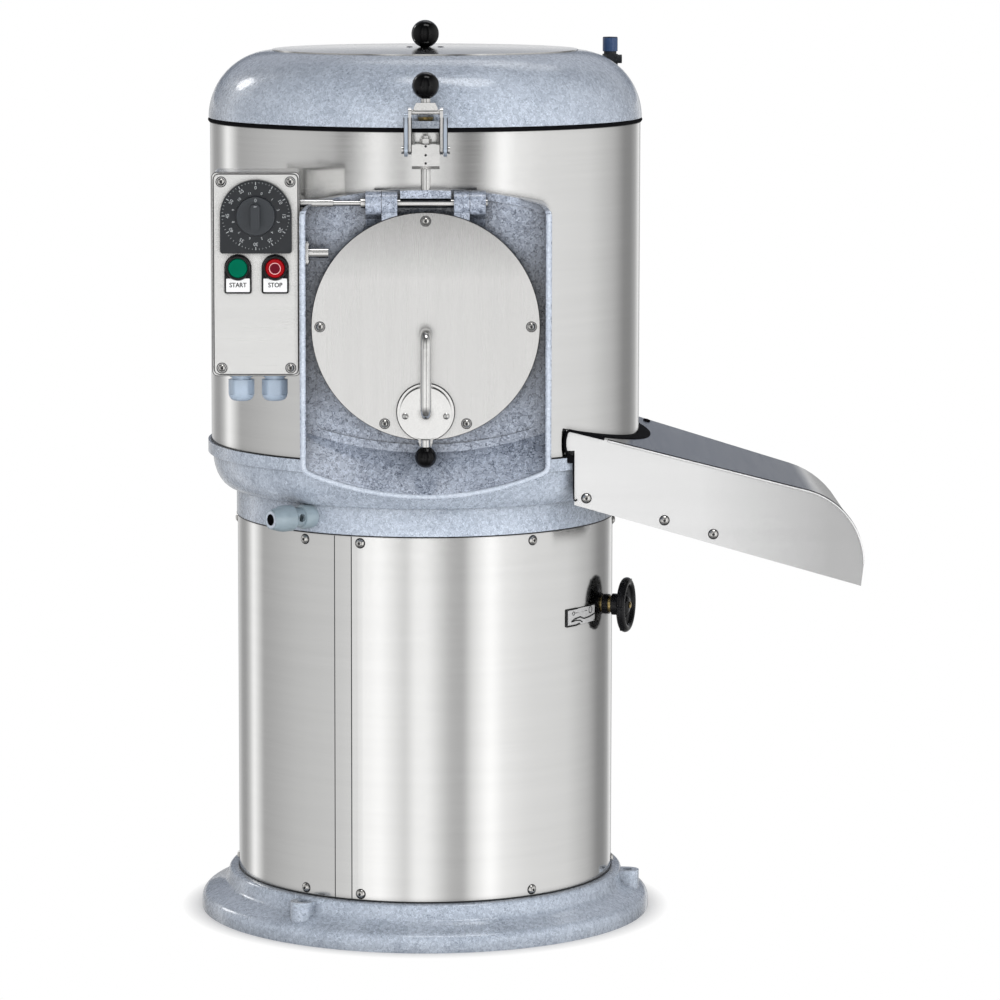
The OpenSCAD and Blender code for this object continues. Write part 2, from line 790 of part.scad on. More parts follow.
module lid_knob() {
    color(black) translate([0, 0, lid_top + 1.4 + plate_crown + knob_r * 0.95 + 0.05]) ball(knob_r);
}

// Brass dish that the roller holds down
module lid_catch() {
    color(brass) translate([0, -lid_r - 2.5, lid_z + 8]) difference() {
        cylinder(r1 = 7.5, r2 = 9, h = 4, $fn = 64);
        translate([0, 0, 2]) cylinder(r = 6, h = 3, $fn = 64);
    }
}

// Rear bracket on the drum with two ears for the lid's hinge pin
module lid_hinge_bracket() {
    color(paint) difference() {
        union() {
            for (s = [0, 1]) mirror([s, 0, 0]) along_x(bracket_x0, bracket_x1) {
                translate([hinge_back, lid_hinge_z]) circle(r = 12);
                polygon([[hinge_back + 12, lid_hinge_z], [hinge_back - 12, lid_hinge_z],
                    [drum_r + 5, lid_hinge_z - 22], [drum_r - 20, lid_hinge_z - 26],
                    [drum_r - 20, lid_hinge_z - 80], [drum_r + 8, lid_hinge_z - 80]]);
            }
            block([-bracket_x1, drum_r - 22, lid_hinge_z - 76], [bracket_x1, drum_r + 7, lid_hinge_z - 30]);
        }
        z_rod(drum_r + seat, lid_hinge_z - 90, lid_hinge_z, $fn = 180);
        translate([0, hinge_back, lid_hinge_z]) x_rod(lid_pin_r + run, -bracket_x1 - cut, bracket_x1 + cut);
    }
}

module lid_hinge_pin() {
    color(steel) translate([0, hinge_back, lid_hinge_z]) {
        x_rod(lid_pin_r, -bracket_x1 - 2, bracket_x1 + 2);
        for (s = [0, 1]) mirror([s, 0, 0]) x_rod(lid_pin_r + 3, bracket_x1 + seat, bracket_x1 + 5);
    }
}

// Door casting: flange, plug for the throat and two ears on the hinge shaft
module door_casting() {
    y0 = -door_face + door_plate_t;
    y1 = y0 + door_cast_t;
    color(paint) difference() {
        union() {
            translate([0, 0, door_z]) {
                y_rod(door_cast_r, y0, y1);
                y_rod(plug_r, y1 - cut, -plug_back);
            }
            for (s = [0, 1]) mirror([s, 0, 0]) along_x(ear_x0, ear_x1) {
                translate([-door_hinge_out, hinge_z]) circle(r = ear_r);
                polygon([[y0 + 0.1, door_z + throat_r - 8], [y1, door_z + throat_r - 8],
                    [y1, door_z + throat_r + 12], [-door_hinge_out + 11, hinge_z], [y0 + 0.1, hinge_z]]);
            }
        }
        translate([0, 0, door_z]) {
            difference() {
                y_rod(plug_r - 8, y1 - 8, -plug_back + cut);
                y_rod(15, y1 - 9, -plug_back + 2);
                for (a = [0:60:120])
                    rotate([0, a, 0]) block([-plug_r, y1 - 9, -3], [plug_r, -plug_back + 2, 3]);
            }
        }
        translate([0, 0, hub_z]) y_rod(lock_pin_r + seat, y0 - cut, -plug_back + cut);
        translate([0, -door_hinge_out, hinge_z]) x_rod(shaft_r + run, -ear_x1 - cut, ear_x1 + cut);
    }
}

// Stainless face of the door
module door_plate() {
    color(steel) difference() {
        translate([0, 0, door_z]) y_rod(door_r, -door_face, -door_face + door_plate_t, $fn = 180);
        translate([0, 0, hub_z]) y_rod(lock_pin_r + seat, -door_face - cut, -door_face + 4);
    }
}

// Rubber ring that the door presses on the frame's plate
module door_gasket() {
    y0 = -door_face + door_plate_t + door_cast_t;
    color(rubber) translate([0, 0, door_z]) difference() {
        y_rod(throat_r + 10, y0, -plate_face - seat);
        y_rod(throat_r + 1, y0 - cut, -plate_face + cut);
    }
}

// Bent handle bar welded to the lock's cap, which two spacers hold on its base
module door_handle() {
    r = bar_d / 2;
    bend = bar_d * 1.1;
    out = -door_face - handle_out + r;
    z1 = hub_z + handle_h - bar_d;
    color(steel) {
        translate([0, 0, hub_z]) y_rod(r, out + bend, -cap_face);
        translate([0, 0, z1]) y_rod(r, out + bend, -door_face);
        translate([0, out, 0]) z_rod(r, hub_z + bend, z1 - bend);
        translate([0, out + bend, hub_z + bend]) rotate([0, 90, 0]) rotate([0, 0, 270])
            rotate_extrude(angle = 90, $fn = 48) translate([bend, 0]) circle(r = r);
        translate([0, out + bend, z1 - bend]) rotate([0, 90, 0]) rotate([0, 0, 180])
            rotate_extrude(angle = 90, $fn = 48) translate([bend, 0]) circle(r = r);
        translate([0, 0, hub_z]) {
            difference() {
                y_rod(hub_r, -hub_face, -door_face);
                y_rod(lock_pin_r + seat, -hub_face - cut, -door_face + cut);
            }
            y_rod(hub_r * 0.9, -cap_face - cap_t, -cap_face);
            for (x = [-22.7, 22.7]) translate([x, 0, -3]) {
                y_rod(3.5, -cap_face - cut, -hub_face + cut, $fn = 32);
                translate([0, -cap_face - cap_t, 0]) button_head(3.6);
            }
        }
    }
}

// Screws of the door plate
module door_screws() {
    color(steel) for (a = [0, 90, 180, 247.2, 292.8])
        translate([(door_r - 9) * cos(a), -door_face - 0.05, door_z + (door_r - 9) * sin(a)])
            button_head(4.4);
}

// Hinge shaft with its collar and the thin rod that runs to the control box
module hinge_shaft() {
    color(steel) translate([0, -door_hinge_out, hinge_z]) {
        x_rod(shaft_r, -frame_ear_x1 - 1, frame_ear_x1 + 2);
        x_rod(shaft_r + 0.8, -frame_ear_x1 - 5.4, -frame_ear_x1 - 0.6);
        x_rod(3, box_x1 + 4, -frame_ear_x1 - 5);
    }
}

// Lock lever with its round pin through the door and the cam on the inside
module lock_lever() {
    y0 = -hub_face - lever_t;
    y1 = -hub_face - 0.3;
    end = lock_l - lock_ball_r * 0.95;
    rod_y = -door_face - lock_ball_r - 1.2;
    color(steel) translate([0, 0, hub_z]) {
        y_rod(14, y0, y1);
        along_y(y0, y1) polygon([[-7.8, 0], [7.8, 0], [7.8, -hub_r - 1], [5.5, -hub_r - 3],
            [-5.5, -hub_r - 3], [-7.8, -hub_r - 1]]);
        translate([0, rod_y, 0]) z_rod(5, -end, -hub_r * 0.9 - 1.2);
        y_rod(lock_pin_r, y0 + cut, -plug_back + 7);
        along_y(-plug_back + 1, -plug_back + 7) {
            circle(r = lock_pin_r + 1);
            translate([-5, 0]) square([10, 22]);
        }
    }
}

module lock_ball() {
    color(black) translate([0, -door_face - lock_ball_r - 1.2, hub_z - lock_l]) mirror([0, 0, 1])
        ball(lock_ball_r);
}

// Folded sheet box with the sleeve for the hinge's thin rod on its side
module control_box() {
    back = -box_front + box_d;
    sleeve_l = 37;
    color(steel) difference() {
        union() {
            difference() {
                translate([(box_x0 + box_x1) / 2, 0, (box_z0 + box_z1) / 2])
                    along_y(-box_front, back) pill(box_w, box_h, 5);
                translate([(box_x0 + box_x1) / 2, 0, (box_z0 + box_z1) / 2])
                    along_y(-box_front - cut, back - box_wall)
                    pill(box_w - 2 * box_wall, box_h - 2 * box_wall, 3.5);
            }
            translate([0, -door_hinge_out, hinge_z]) x_rod(4.5, box_x1 - 3, box_x1 + sleeve_l);
        }
        translate([0, -door_hinge_out, hinge_z]) x_rod(3 + run, box_x1 - 6, box_x1 + sleeve_l + cut);
        for (x = gland_x) translate([x, gland_y, 0])
            z_rod(gland_bore, box_z0 - cut, box_z0 + box_wall + cut);
    }
}

// Front plate of the box, with the holes for the timer and the buttons
module control_cover() {
    color(steel) difference() {
        translate([(box_x0 + box_x1) / 2, 0, (box_z0 + box_z1) / 2])
            along_y(-cover_face, -box_front) pill(box_w - 2 * cover_in, box_h - 2 * cover_in, 5);
        for (x = [start_x, stop_x]) translate([x, 0, button_z])
            y_rod(cap_r + seat, -cover_face - cut, -box_front + cut);
        translate([timer_x, 0, timer_z]) y_rod(5, -cover_face - cut, -box_front + cut);
    }
}

module control_screws() {
    inset = 10;
    color(steel) for (x = [box_x0 + inset, box_x1 - inset], z = [box_z0 + inset - 1.5, box_z1 - inset])
        translate([x, -cover_face - 0.05, z]) button_head(4.2);
}

// Timer housing: a flat plate with a round top and a raised dial
module timer_plate() {
    y1 = -cover_face;
    color(black) translate([timer_x, 0, timer_z]) difference() {
        union() {
            along_y(y1 - 5, y1) union() {
                circle(r = dial_r);
                translate([0, -dial_r / 2]) pill(2 * dial_r, dial_r + 4, 3);
            }
            y_rod(dial_r - 2, y1 - 6, y1 - 4);
            y_rod(4.7, y1 - cut, y1 + 6);
        }
        y_rod(3 + run, y1 - 7, y1 + 8);
    }
}

// Turning knob of the timer with its raised grip
module timer_knob() {
    y1 = -cover_face - 6.3;
    color(black) translate([timer_x, 0, timer_z]) {
        y_rod(3, y1 - cut, y1 + 12);
        translate([0, y1, 0]) rotate([90, 0, 0]) cylinder(r1 = timer_r, r2 = timer_r - 1, h = 5.5);
        along_y(y1 - 16, y1 - 5) pill(10, 27, 3.5);
    }
}

// Black bezels of the two push-buttons, with the raised rings round the caps
module button_bezels() {
    y1 = -cover_face;
    color(black) for (x = [start_x, stop_x]) translate([x, 0, button_z]) difference() {
        union() {
            along_y(y1 - bezel_t, y1) {
                circle(r = 15);
                translate([0, -14.2]) pill(30, 28.6, 2.5);
            }
            translate([0, y1 - cut, 0]) rotate([90, 0, 0])
                cylinder(r1 = 14.4, r2 = 13.2, h = bezel_ring + 1);
        }
        y_rod(cap_r + seat, y1 - 20, y1 + cut);
    }
}

// Cap of a push-button, proud of its ring by h
module button_cap(x, h) {
    y1 = -cover_face - bezel_t - bezel_ring;
    translate([x, 0, button_z]) {
        y_rod(cap_r, y1 + 1.5, y1 + 13);
        translate([0, y1 + 1.6, 0]) rotate([90, 0, 0]) cylinder(r1 = cap_r, r2 = cap_r - 1, h = h + 1.6);
    }
}

module start_button() {
    color([0.0, 0.45, 0.33]) button_cap(start_x, 0.4);
}

module stop_button() {
    color([0.75, 0.05, 0.08]) difference() {
        button_cap(stop_x, 2.4);
        translate([stop_x, 0, button_z]) difference() {
            y_rod(6.2, -cover_face - bezel_t - bezel_ring - 4, -cover_face - bezel_t - bezel_ring - 1.6);
            y_rod(5.2, -cover_face - bezel_t - bezel_ring - 5, -cover_face - bezel_t);
        }
    }
}

// Two empty cable glands: locknut, neck and a six-sided dome nut
module cable_glands() {
    color(gland_blue) for (x = gland_x) translate([x, gland_y, box_z0]) difference() {
        union() {
            translate([0, 0, -5]) cylinder(r = gland_r - 1.8, h = 5);
            translate([0, 0, -9]) cylinder(r = gland_r - 4, h = 5);
            intersection() {
                translate([0, 0, -25]) cylinder(r = gland_r, h = 17, $fn = 6);
                translate([0, 0, -25]) cylinder(r = gland_r - 0.6, h = 17);
            }
            translate([0, 0, -32]) rotate_extrude() intersection() {
                translate([gland_r - 8.2, 7.2]) circle(r = 7.2);
                square([gland_r, 7.3]);
            }
            translate([0, 0, -32]) cylinder(r = gland_r - 8, h = 8);
        }
        translate([0, 0, -33]) cylinder(r = gland_bore, h = 34);
    }
}

// Channel that carries the box on the drum, cut to the drum's curve
module box_bracket() {
    back = -box_front + box_d;
    x0 = box_x0 + 14;
    x1 = box_x0 + 66;
    color(steel) difference() {
        union() {
            block([x0, back, box_z0 + 30], [x1, back + 3, box_z1 - 30]);
            for (z = [box_z0 + 30, box_z1 - 33]) block([x0, back, z], [x1, -100, z + 3]);
        }
        z_rod(drum_r + seat, box_z0, box_z1, $fn = 180);
    }
}

// Painted stub on the neck: collar, waist with a cross hole, barrel and bore
module inlet_fitting() {
    color(paint) difference() {
        at_inlet() rotate([90, 0, 0]) rotate_extrude() polygon([[0, -14], [14, -14], [14, 10],
            [13, 12], [11, 12], [11, 22], [13, 24], [15, 26], [15, 40],
            [12, inlet_l - 4], [10.7, inlet_l], [0, inlet_l]]);
        pan_room(seat);
        at_inlet() {
            y_rod(inlet_bore, -inlet_l - cut, 24);
            translate([0, -17, 0]) x_rod(4.5, -16, 16);
            translate([0, -40, -20]) z_rod(4, 0, 18);
        }
    }
}

// Brass nut in the cabinet sheet that the adjusting screw runs in
module wheel_bush() {
    color(brass) at_az(wheel_az) translate([0, 0, wheel_z]) difference() {
        union() {
            y_rod(screw_r + 3, -cab_r - 1, -cab_r + 12);
            y_rod(9.75, -cab_r - 7, -cab_r - 0.3);
            y_rod(11, -cab_r + 2.3, -cab_r + 8);
        }
        y_rod(screw_r + run, -cab_r - 8, -cab_r + 13);
    }
}

// Dished handwheel with its screw
module handwheel() {
    hub = cab_r + 7.4;
    color(black) at_az(wheel_az) translate([0, 0, wheel_z]) {
        rotate([90, 0, 0]) rotate_extrude() {
            polygon([[0, hub], [12.5, hub], [12.5, hub + 9], [wheel_r - 6, hub + 13],
                [wheel_r - 6, hub + 18], [15, hub + 14.5], [8, hub + 20], [0, hub + 20]]);
            translate([wheel_r - 5, hub + 16]) circle(r = 5, $fn = 48);
        }
        for (a = [0:60:300]) rotate([0, a, 0]) translate([wheel_r - 1.6, 0, 0])
            y_rod(2.2, -hub - 19, -hub - 13, $fn = 24);
        y_rod(screw_r, -hub - cut, -75);
    }
}

// Foot and top lines of the chute's side, as heights at x
function chute_foot(x) = chute_foot_z - (x - chute_x0) * tan(chute_foot_slope);
function chute_top(x) = chute_foot_z + chute_h - (x - chute_x0) * tan(chute_top_slope);

// Side view of the chute, inset by t at the top and at the tip
function chute_side(t, x0, drop) =
    let (r = 86 - t,
        cx = chute_reach - 86,
        cz = chute_top(chute_reach - 86) - 86 / cos(chute_top_slope))
    concat([[x0, chute_foot(x0) - drop], [chute_reach - 3 - t, chute_foot(chute_reach - 3) - drop]],
        arc(cx, cz, r, 0, 90 - chute_top_slope, 12),
        [[x0, chute_top(x0) - t / cos(chute_top_slope)]]);

// Plan of the chute, inset by t along its two walls
module chute_plan(t, x0 = 100) {
    far = function (x) chute_far_y - t / cos(chute_far_dir) - (x - chute_far_x) * tan(chute_far_dir);
    x1 = chute_reach + 10;
    translate([0, 0, chute_foot_z - chute_under]) linear_extrude(chute_under + chute_over)
        polygon([[x0, -chute_near + t], [x1, -chute_near + t], [x1, far(x1)], [x0, far(x0)]]);
}

// Bent hood of the chute: near wall, sloping top and slanting far wall
module chute_hood() {
    tab_x = 159;
    color(steel) difference() {
        intersection() {
            along_y(-chute_near, 260) polygon(chute_side(0, tab_x, 0));
            chute_plan(0, tab_x);
        }
        intersection() {
            along_y(-chute_near, 270) polygon(chute_side(chute_t, tab_x - 10, 30));
            chute_plan(chute_t);
        }
        intersection() {
            z_rod(seal_r, chute_foot_z - chute_under, chute_foot_z + chute_over, $fn = 180);
            chute_plan(chute_t);
        }
        block([tab_x - cut, -chute_near - cut, chute_foot_z - 40],
            [chute_x0 - 1.5, -chute_near + 3, ring_top + 8]);
        z_rod(drum_r + seat, chute_foot_z - chute_under, chute_foot_z + chute_over, $fn = 180);
        pan_room(seat);
    }
}

// Inner floor plate of the chute, with flanges along both walls
module chute_floor() {
    strip = function (up, h, x0) [[x0, chute_foot(x0) + up], [floor_x1, chute_foot(floor_x1) + up],
        [floor_x1, chute_foot(floor_x1) + up + h], [x0, chute_foot(x0) + up + h]];
    color(steel) difference() {
        intersection() {
            along_y(-chute_near, 260) polygon(strip(floor_up, 12, chute_x0 + 2));
            chute_plan(chute_t + 0.2);
        }
        intersection() {
            along_y(-chute_near, 270) polygon(strip(floor_up + chute_t, 30, chute_x0 - 20));
            chute_plan(2 * chute_t + 0.2);
        }
        pan_room(seat);
    }
}

// Black rubber seal between the drum and the hood's cut-out
module chute_seal() {
    x0 = 158;
    color(rubber) difference() {
        intersection() {
            along_y(-chute_near, 270) polygon([[x0, chute_top(x0) - 2], [seal_r, chute_top(seal_r) - 2],
                [seal_r, chute_top(seal_r) + 1], [x0, chute_top(x0) + 1]]);
            chute_plan(chute_t + 0.2, x0);
            z_rod(seal_r - 0.2, chute_foot_z, chute_foot_z + chute_over, $fn = 180);
        }
        z_rod(drum_r + seat, chute_foot_z, chute_foot_z + chute_over, $fn = 180);
    }
}

// Upright air pipe behind the drum, with two stand-offs and its nozzle
module air_pipe() {
    off = sqrt(pipe_x * pipe_x + pipe_y * pipe_y);
    color(steel) difference() {
        at_az(atan2(pipe_x, -pipe_y)) union() {
            translate([0, -off, 0]) z_rod(pipe_r, pipe_z0, pipe_z1);
            for (z = [pipe_z0 + 60, drum_top - 60]) {
                block([-6, -off, z], [6, -drum_r + 10, z + 20]);
                block([-18, -drum_r - 3, z], [18, -drum_r + 10, z + 20]);
            }
            translate([0, 0, pipe_z0 + 12]) y_rod(6, -off, -drum_r + 5);
        }
        z_rod(drum_r + seat, pipe_z0 - 10, drum_top, $fn = 180);
    }
}

// Black push-in fitting on the air pipe and its blue release collar
module air_elbow() {
    translate([pipe_x, pipe_y, pipe_z1]) {
        color(black) difference() {
            union() {
                cylinder(r = 9.2, h = 13, $fn = 6);
                translate([0, 0, 7]) x_rod(5.2, 0, 14);
                translate([0, 0, 12]) cylinder(r = 7.6, h = 4);
            }
            translate([0, 0, 4]) cylinder(r = air_bore, h = 20);
        }
        color([0.15, 0.3, 0.6]) translate([0, 0, 16.2]) difference() {
            cylinder(r = 8.7, h = 17);
            translate([0, 0, -1]) cylinder(r = air_bore, h = 20);
        }
    }
}

// Housing under the pan, with the yoke that guides the lifting wedge
module bearing_housing() {
    color(paint) difference() {
        union() {
            z_rod(housing_r, housing_z0, pan_top + 14);
            z_rod(housing_r + 30, pan_under - 12, pan_under);
            at_az(wheel_az) {
                block([-19, -80, housing_z0], [19, -28, housing_z0 + 12]);
                for (s = [0, 1]) mirror([s, 0, 0])
                    block([wedge_w / 2 + seat, -80, wedge_foot - 8], [19, -34, housing_z0 + 1]);
                block([-19, -80, wedge_foot - 8], [19, -34, wedge_foot - 0.2]);
            }
            for (a = [0:60:300]) at_az(wheel_az + a + 30)
                block([-4, -housing_r - 24, pan_under - 40], [4, -housing_r + 3, pan_under - 8]);
        }
        z_rod(quill_r + run, wedge_foot, pan_top + 20);
    }
}

// Nut wedge that the adjusting screw draws in and out
module lift_wedge() {
    color(dark_steel) at_az(wheel_az) translate([-wedge_w / 2, 0, 0]) difference() {
        along_x(0, wedge_w) polygon([[-wedge_r0, wedge_foot], [-wedge_r0, wedge_top],
            [-wedge_r1, wedge_top + (wedge_r1 - wedge_r0) / wedge_slope], [-wedge_r1, wedge_foot]]);
        translate([wedge_w / 2, 0, wheel_z]) y_rod(screw_r + seat, -wedge_r1 - cut, -wedge_r0 - 1);
    }
}

// Sleeve that carries the bearings; its foot rides on the wedge and lifts the disc
module quill() {
    foot_z = function (r) wedge_top + (r - wedge_r0) / wedge_slope + seat;
    color(dark_steel) difference() {
        union() {
            z_rod(quill_r, quill_z0, quill_z1);
            at_az(wheel_az) along_x(-9, 9) polygon([[-28, quill_z0], [-wedge_r0, quill_z0],
                [-wedge_r0, foot_z(wedge_r0)], [-64, foot_z(64)], [-64, quill_z0 + 12],
                [-28, quill_z0 + 12]]);
        }
        z_rod(bearing_r - 2, quill_z0 - 10, quill_z1 + 2);
        z_rod(bearing_r + run, quill_z0 - 10, quill_z0 + bearing_w);
        z_rod(bearing_r + run, quill_z1 - bearing_w, quill_z1 + 2);
    }
}

// Two ball bearings of the spindle
module spindle_bearings() {
    color(steel) for (z = [quill_z0, quill_z1 - bearing_w]) translate([0, 0, z]) rotate_extrude()
        difference() {
            translate([spindle_r + run, 0]) square([bearing_r - spindle_r - run, bearing_w]);
            for (y = [0, bearing_w]) translate([(bearing_r + spindle_r) / 2, y])
                square([bearing_r - spindle_r - 8, 2], center = true);
        }
}

module spindle() {
    stub = disc_z + disc_t + 16;
    color(steel) {
        z_rod(spindle_r, pulley_z - 6, quill_z1 + 2);
        z_rod(spindle_r + 5, quill_z1 + 1, disc_z - 4);
        z_rod(spindle_r - 2.5, disc_z - 5, stub);
        difference() {
            translate([0, 0, disc_z + disc_t + 8.2]) cylinder(r = 17, h = 12);
            translate([0, 0, stub + 2]) cylinder(r = 8, h = 8, $fn = 6);
        }
    }
}

// Knife disc: a plate with waves that rise to undercut knife edges, each over a
// slot that the peel drops through, and a hub
module knife_disc() {
    top = disc_z + disc_t;
    slot_l = disc_r - 110;
    color(steel) difference() {
        union() {
            z_rod(disc_r, disc_z, top);
            z_rod(30, disc_z - 4, top + 8);
            for (i = [0:knives - 1]) at_az(i * 360 / knives)
                along_y(-disc_r + 16, -42) polygon(concat(
                    [for (x = [-26:2:0]) [x, top - 1 + 5 * pow(cos(x * 3.4), 2)]],
                    [[15, top + 6.5], [15.5, top + 5.7], [6, top + 2.2], [2, top - 1]]));
        }
        for (i = [0:knives - 1]) at_az(i * 360 / knives)
            block([6, -disc_r + 30, disc_z - cut], [16, -disc_r + 30 + slot_l, top + 0.5]);
        z_rod(spindle_r - 2.5 + run, disc_z - 10, disc_z + 30);
    }
}

// Pulley with a rim, a web with round holes and a hub
module pulley(r, bore, h) {
    difference() {
        union() {
            difference() {
                cylinder(r = r, h = h);
                translate([0, 0, -cut]) cylinder(r = r - 7, h = h + 2 * cut);
            }
            translate([0, 0, h * 0.36]) cylinder(r = r - 6, h = h * 0.28);
            cylinder(r = bore + 9, h = h);
        }
        translate([0, 0, -cut]) cylinder(r = bore, h = h + 2 * cut);
        if (r > bore + 34) for (a = [0:60:300]) rotate([0, 0, a])
            translate([(r + bore + 2) / 2, 0, -cut]) cylinder(r = (r - bore - 16) / 3.4, h = h + 2 * cut);
    }
}

module spindle_pulley() {
    color(dark_steel) translate([0, 0, pulley_z]) pulley(spindle_pulley_r, spindle_r + run, pulley_h);
}

module motor_pulley() {
    color(dark_steel) at_az(motor_az) translate([0, -motor_off, pulley_z])
        pulley(motor_pulley_r, 9.5 + run, pulley_h - 6);
}

// Flat belt round both pulleys
module drive_belt() {
    z = pulley_z + 8;
    color(rubber) at_az(motor_az) translate([0, 0, z]) linear_extrude(belt_h) difference() {
        hull() {
            circle(r = spindle_pulley_r + 0.5 + belt_t, $fn = 64);
            translate([0, -motor_off]) circle(r = motor_pulley_r + 0.5 + belt_t, $fn = 48);
        }
        hull() {
            circle(r = spindle_pulley_r + 0.5, $fn = 64);
            translate([0, -motor_off]) circle(r = motor_pulley_r + 0.5, $fn = 48);
        }
    }
}

// Finned motor hanging under its plate, with its shaft
module motor() {
    z1 = motor_plate_z - seat;
    z0 = z1 - motor_h;
    color(dark_steel) at_az(motor_az) translate([0, -motor_off, 0]) {
        rotate_extrude() polygon(concat([[0, z0], [motor_r - 10, z0], [motor_r - 4, z0 + 6],
            [motor_r - 4, z0 + 34]],
            [for (i = [0:9], s = [0:3]) [s == 0 || s == 3 ? motor_r - 5 : motor_r,
                z0 + 40 + (z1 - z0 - 60) * (i + [0, 0.02, 0.5, 0.52][s]) / 10]],
            [[motor_r - 4, z1 - 14], [motor_r - 4, z1], [0, z1]]));
        z_rod(9.5, z1 - cut, pulley_z + pulley_h);
    }
}

// Plate on the three posts that the motor hangs from
module motor_plate() {
    color(dark_steel) difference() {
        z_rod(pillar_ring + pillar_r + 5, motor_plate_z, motor_plate_z + motor_plate_t);
        for (a = pillar_az) at_az(a) translate([0, -pillar_ring, 0])
            z_rod(pillar_r + seat, motor_plate_z - cut, motor_plate_z + motor_plate_t + cut);
        at_az(motor_az) translate([0, -motor_off, 0])
            z_rod(14, motor_plate_z - cut, motor_plate_z + motor_plate_t + cut);
        at_az(motor_az + 180) translate([0, -96, 0])
            z_rod(80, motor_plate_z - cut, motor_plate_z + motor_plate_t + cut);
    }
}

base_casting();
side_panel();
service_panel();
seam_strips();
panel_screws();
support_pillars();
pan_casting();
drum_shell();
drum_liner();
drum_gasket();
door_frame();
door_sensor();
latch_post();
latch_block();
lid_hinge_bracket();
lid_hinge_pin();
control_box();
control_cover();
control_screws();
timer_plate();
button_bezels();
cable_glands();
box_bracket();
inlet_fitting();
wheel_bush();
chute_hood();
chute_floor();
chute_seal();
motor();
motor_plate();
drive_belt();
bearing_housing();
air_pipe();
air_elbow();
lid_casting();
lid_plate();
lid_knob();
lid_catch();
latch_arms();
latch_lever();
latch_ball();
door_casting();
door_plate();
door_gasket();
door_handle();
door_screws();
hinge_shaft();
lock_lever();
lock_ball();
timer_knob();
start_button();
stop_button();
handwheel();
lift_wedge();
quill();
spindle_bearings();
spindle();
spindle_pulley();
knife_disc();
motor_pulley();
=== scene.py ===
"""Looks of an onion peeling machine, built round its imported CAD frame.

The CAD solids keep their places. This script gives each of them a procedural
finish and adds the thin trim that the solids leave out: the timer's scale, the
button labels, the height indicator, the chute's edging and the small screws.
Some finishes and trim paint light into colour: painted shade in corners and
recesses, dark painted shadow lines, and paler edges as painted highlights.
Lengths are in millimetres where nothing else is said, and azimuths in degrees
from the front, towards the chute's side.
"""

import logging
import math
from dataclasses import dataclass, field
from enum import Enum
from typing import Sequence

import bmesh
import bpy
import numpy as np
from mathutils import Matrix, Vector


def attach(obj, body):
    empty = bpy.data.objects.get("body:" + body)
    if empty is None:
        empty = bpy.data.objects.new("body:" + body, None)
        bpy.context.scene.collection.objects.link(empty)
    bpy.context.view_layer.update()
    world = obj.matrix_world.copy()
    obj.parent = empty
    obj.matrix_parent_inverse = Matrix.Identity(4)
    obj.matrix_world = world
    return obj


LOG = logging.getLogger("onion_peeler")
MM = 0.001
TURN = 2 * math.pi
BOX_CENTRE = (-187.3, 771.95)
CABINET_RADIUS = 220.0
WHEEL_AZIMUTH, WHEEL_HEIGHT = 73.5, 368.0
LOCK_HEIGHT = 619.0

Triple = tuple[float, float, float]
Pairs = Sequence[tuple[float, float]]
Object, Node, Socket = bpy.types.Object, bpy.types.Node, bpy.types.NodeSocket

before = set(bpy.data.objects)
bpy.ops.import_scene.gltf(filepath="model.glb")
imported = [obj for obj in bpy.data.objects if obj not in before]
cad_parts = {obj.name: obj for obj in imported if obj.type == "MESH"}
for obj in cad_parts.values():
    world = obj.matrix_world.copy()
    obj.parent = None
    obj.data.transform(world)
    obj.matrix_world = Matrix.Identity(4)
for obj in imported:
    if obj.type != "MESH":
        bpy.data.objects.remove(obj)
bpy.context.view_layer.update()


class Grain(Enum):
    """How the brushing of a sheet runs."""

    ROUND = "round"
    LEVEL = "level"
    UPRIGHT = "upright"
    SPUN = "spun"


# Mesh helpers


def linked(name: str, data: bpy.types.ID) -> Object:
    """Put a mesh or another datablock into the scene as an object.

    Args:
        name: Name of the object.
        data: What it shows.

    Returns:
        The new object.
    """
    made = bpy.data.objects.new(name, data)
    bpy.context.scene.collection.objects.link(made)
    return made


def object_from_arrays(name: str, points: np.ndarray, faces: np.ndarray) -> Object:
    """Make a mesh object from whole arrays.

    Args:
        name: Name of the object and its mesh.
        points: Array (n, 3) of places in metres.
        faces: Array (m, 3) or (m, 4) of point numbers.

    Returns:
        The new object, linked to the scene.
    """
    mesh = bpy.data.meshes.new(name)
    mesh.from_pydata(np.asarray(points, float).tolist(), [], np.asarray(faces, int).tolist())
    mesh.validate()
    return linked(name, mesh)


def grid_faces(rows: int, columns: int, wrap_rows: bool, wrap_columns: bool) -> np.ndarray:
    """Number the four-sided faces of a rows by columns grid.

    Args:
        rows: Points along the first parameter.
        columns: Points along the second parameter.
        wrap_rows: Whether the last row joins the first.
        wrap_columns: Whether the last column joins the first.

    Returns:
        Array (m, 4) of point numbers.
    """
    i = np.arange(rows if wrap_rows else rows - 1)
    j = np.arange(columns if wrap_columns else columns - 1)
    a, b = np.meshgrid(i, j, indexing="ij")
    a2, b2 = (a + 1) % rows, (b + 1) % columns
    corners = [a * columns + b, a2 * columns + b, a2 * columns + b2, a * columns + b2]
    return np.stack(corners, axis=-1).reshape(-1, 4)


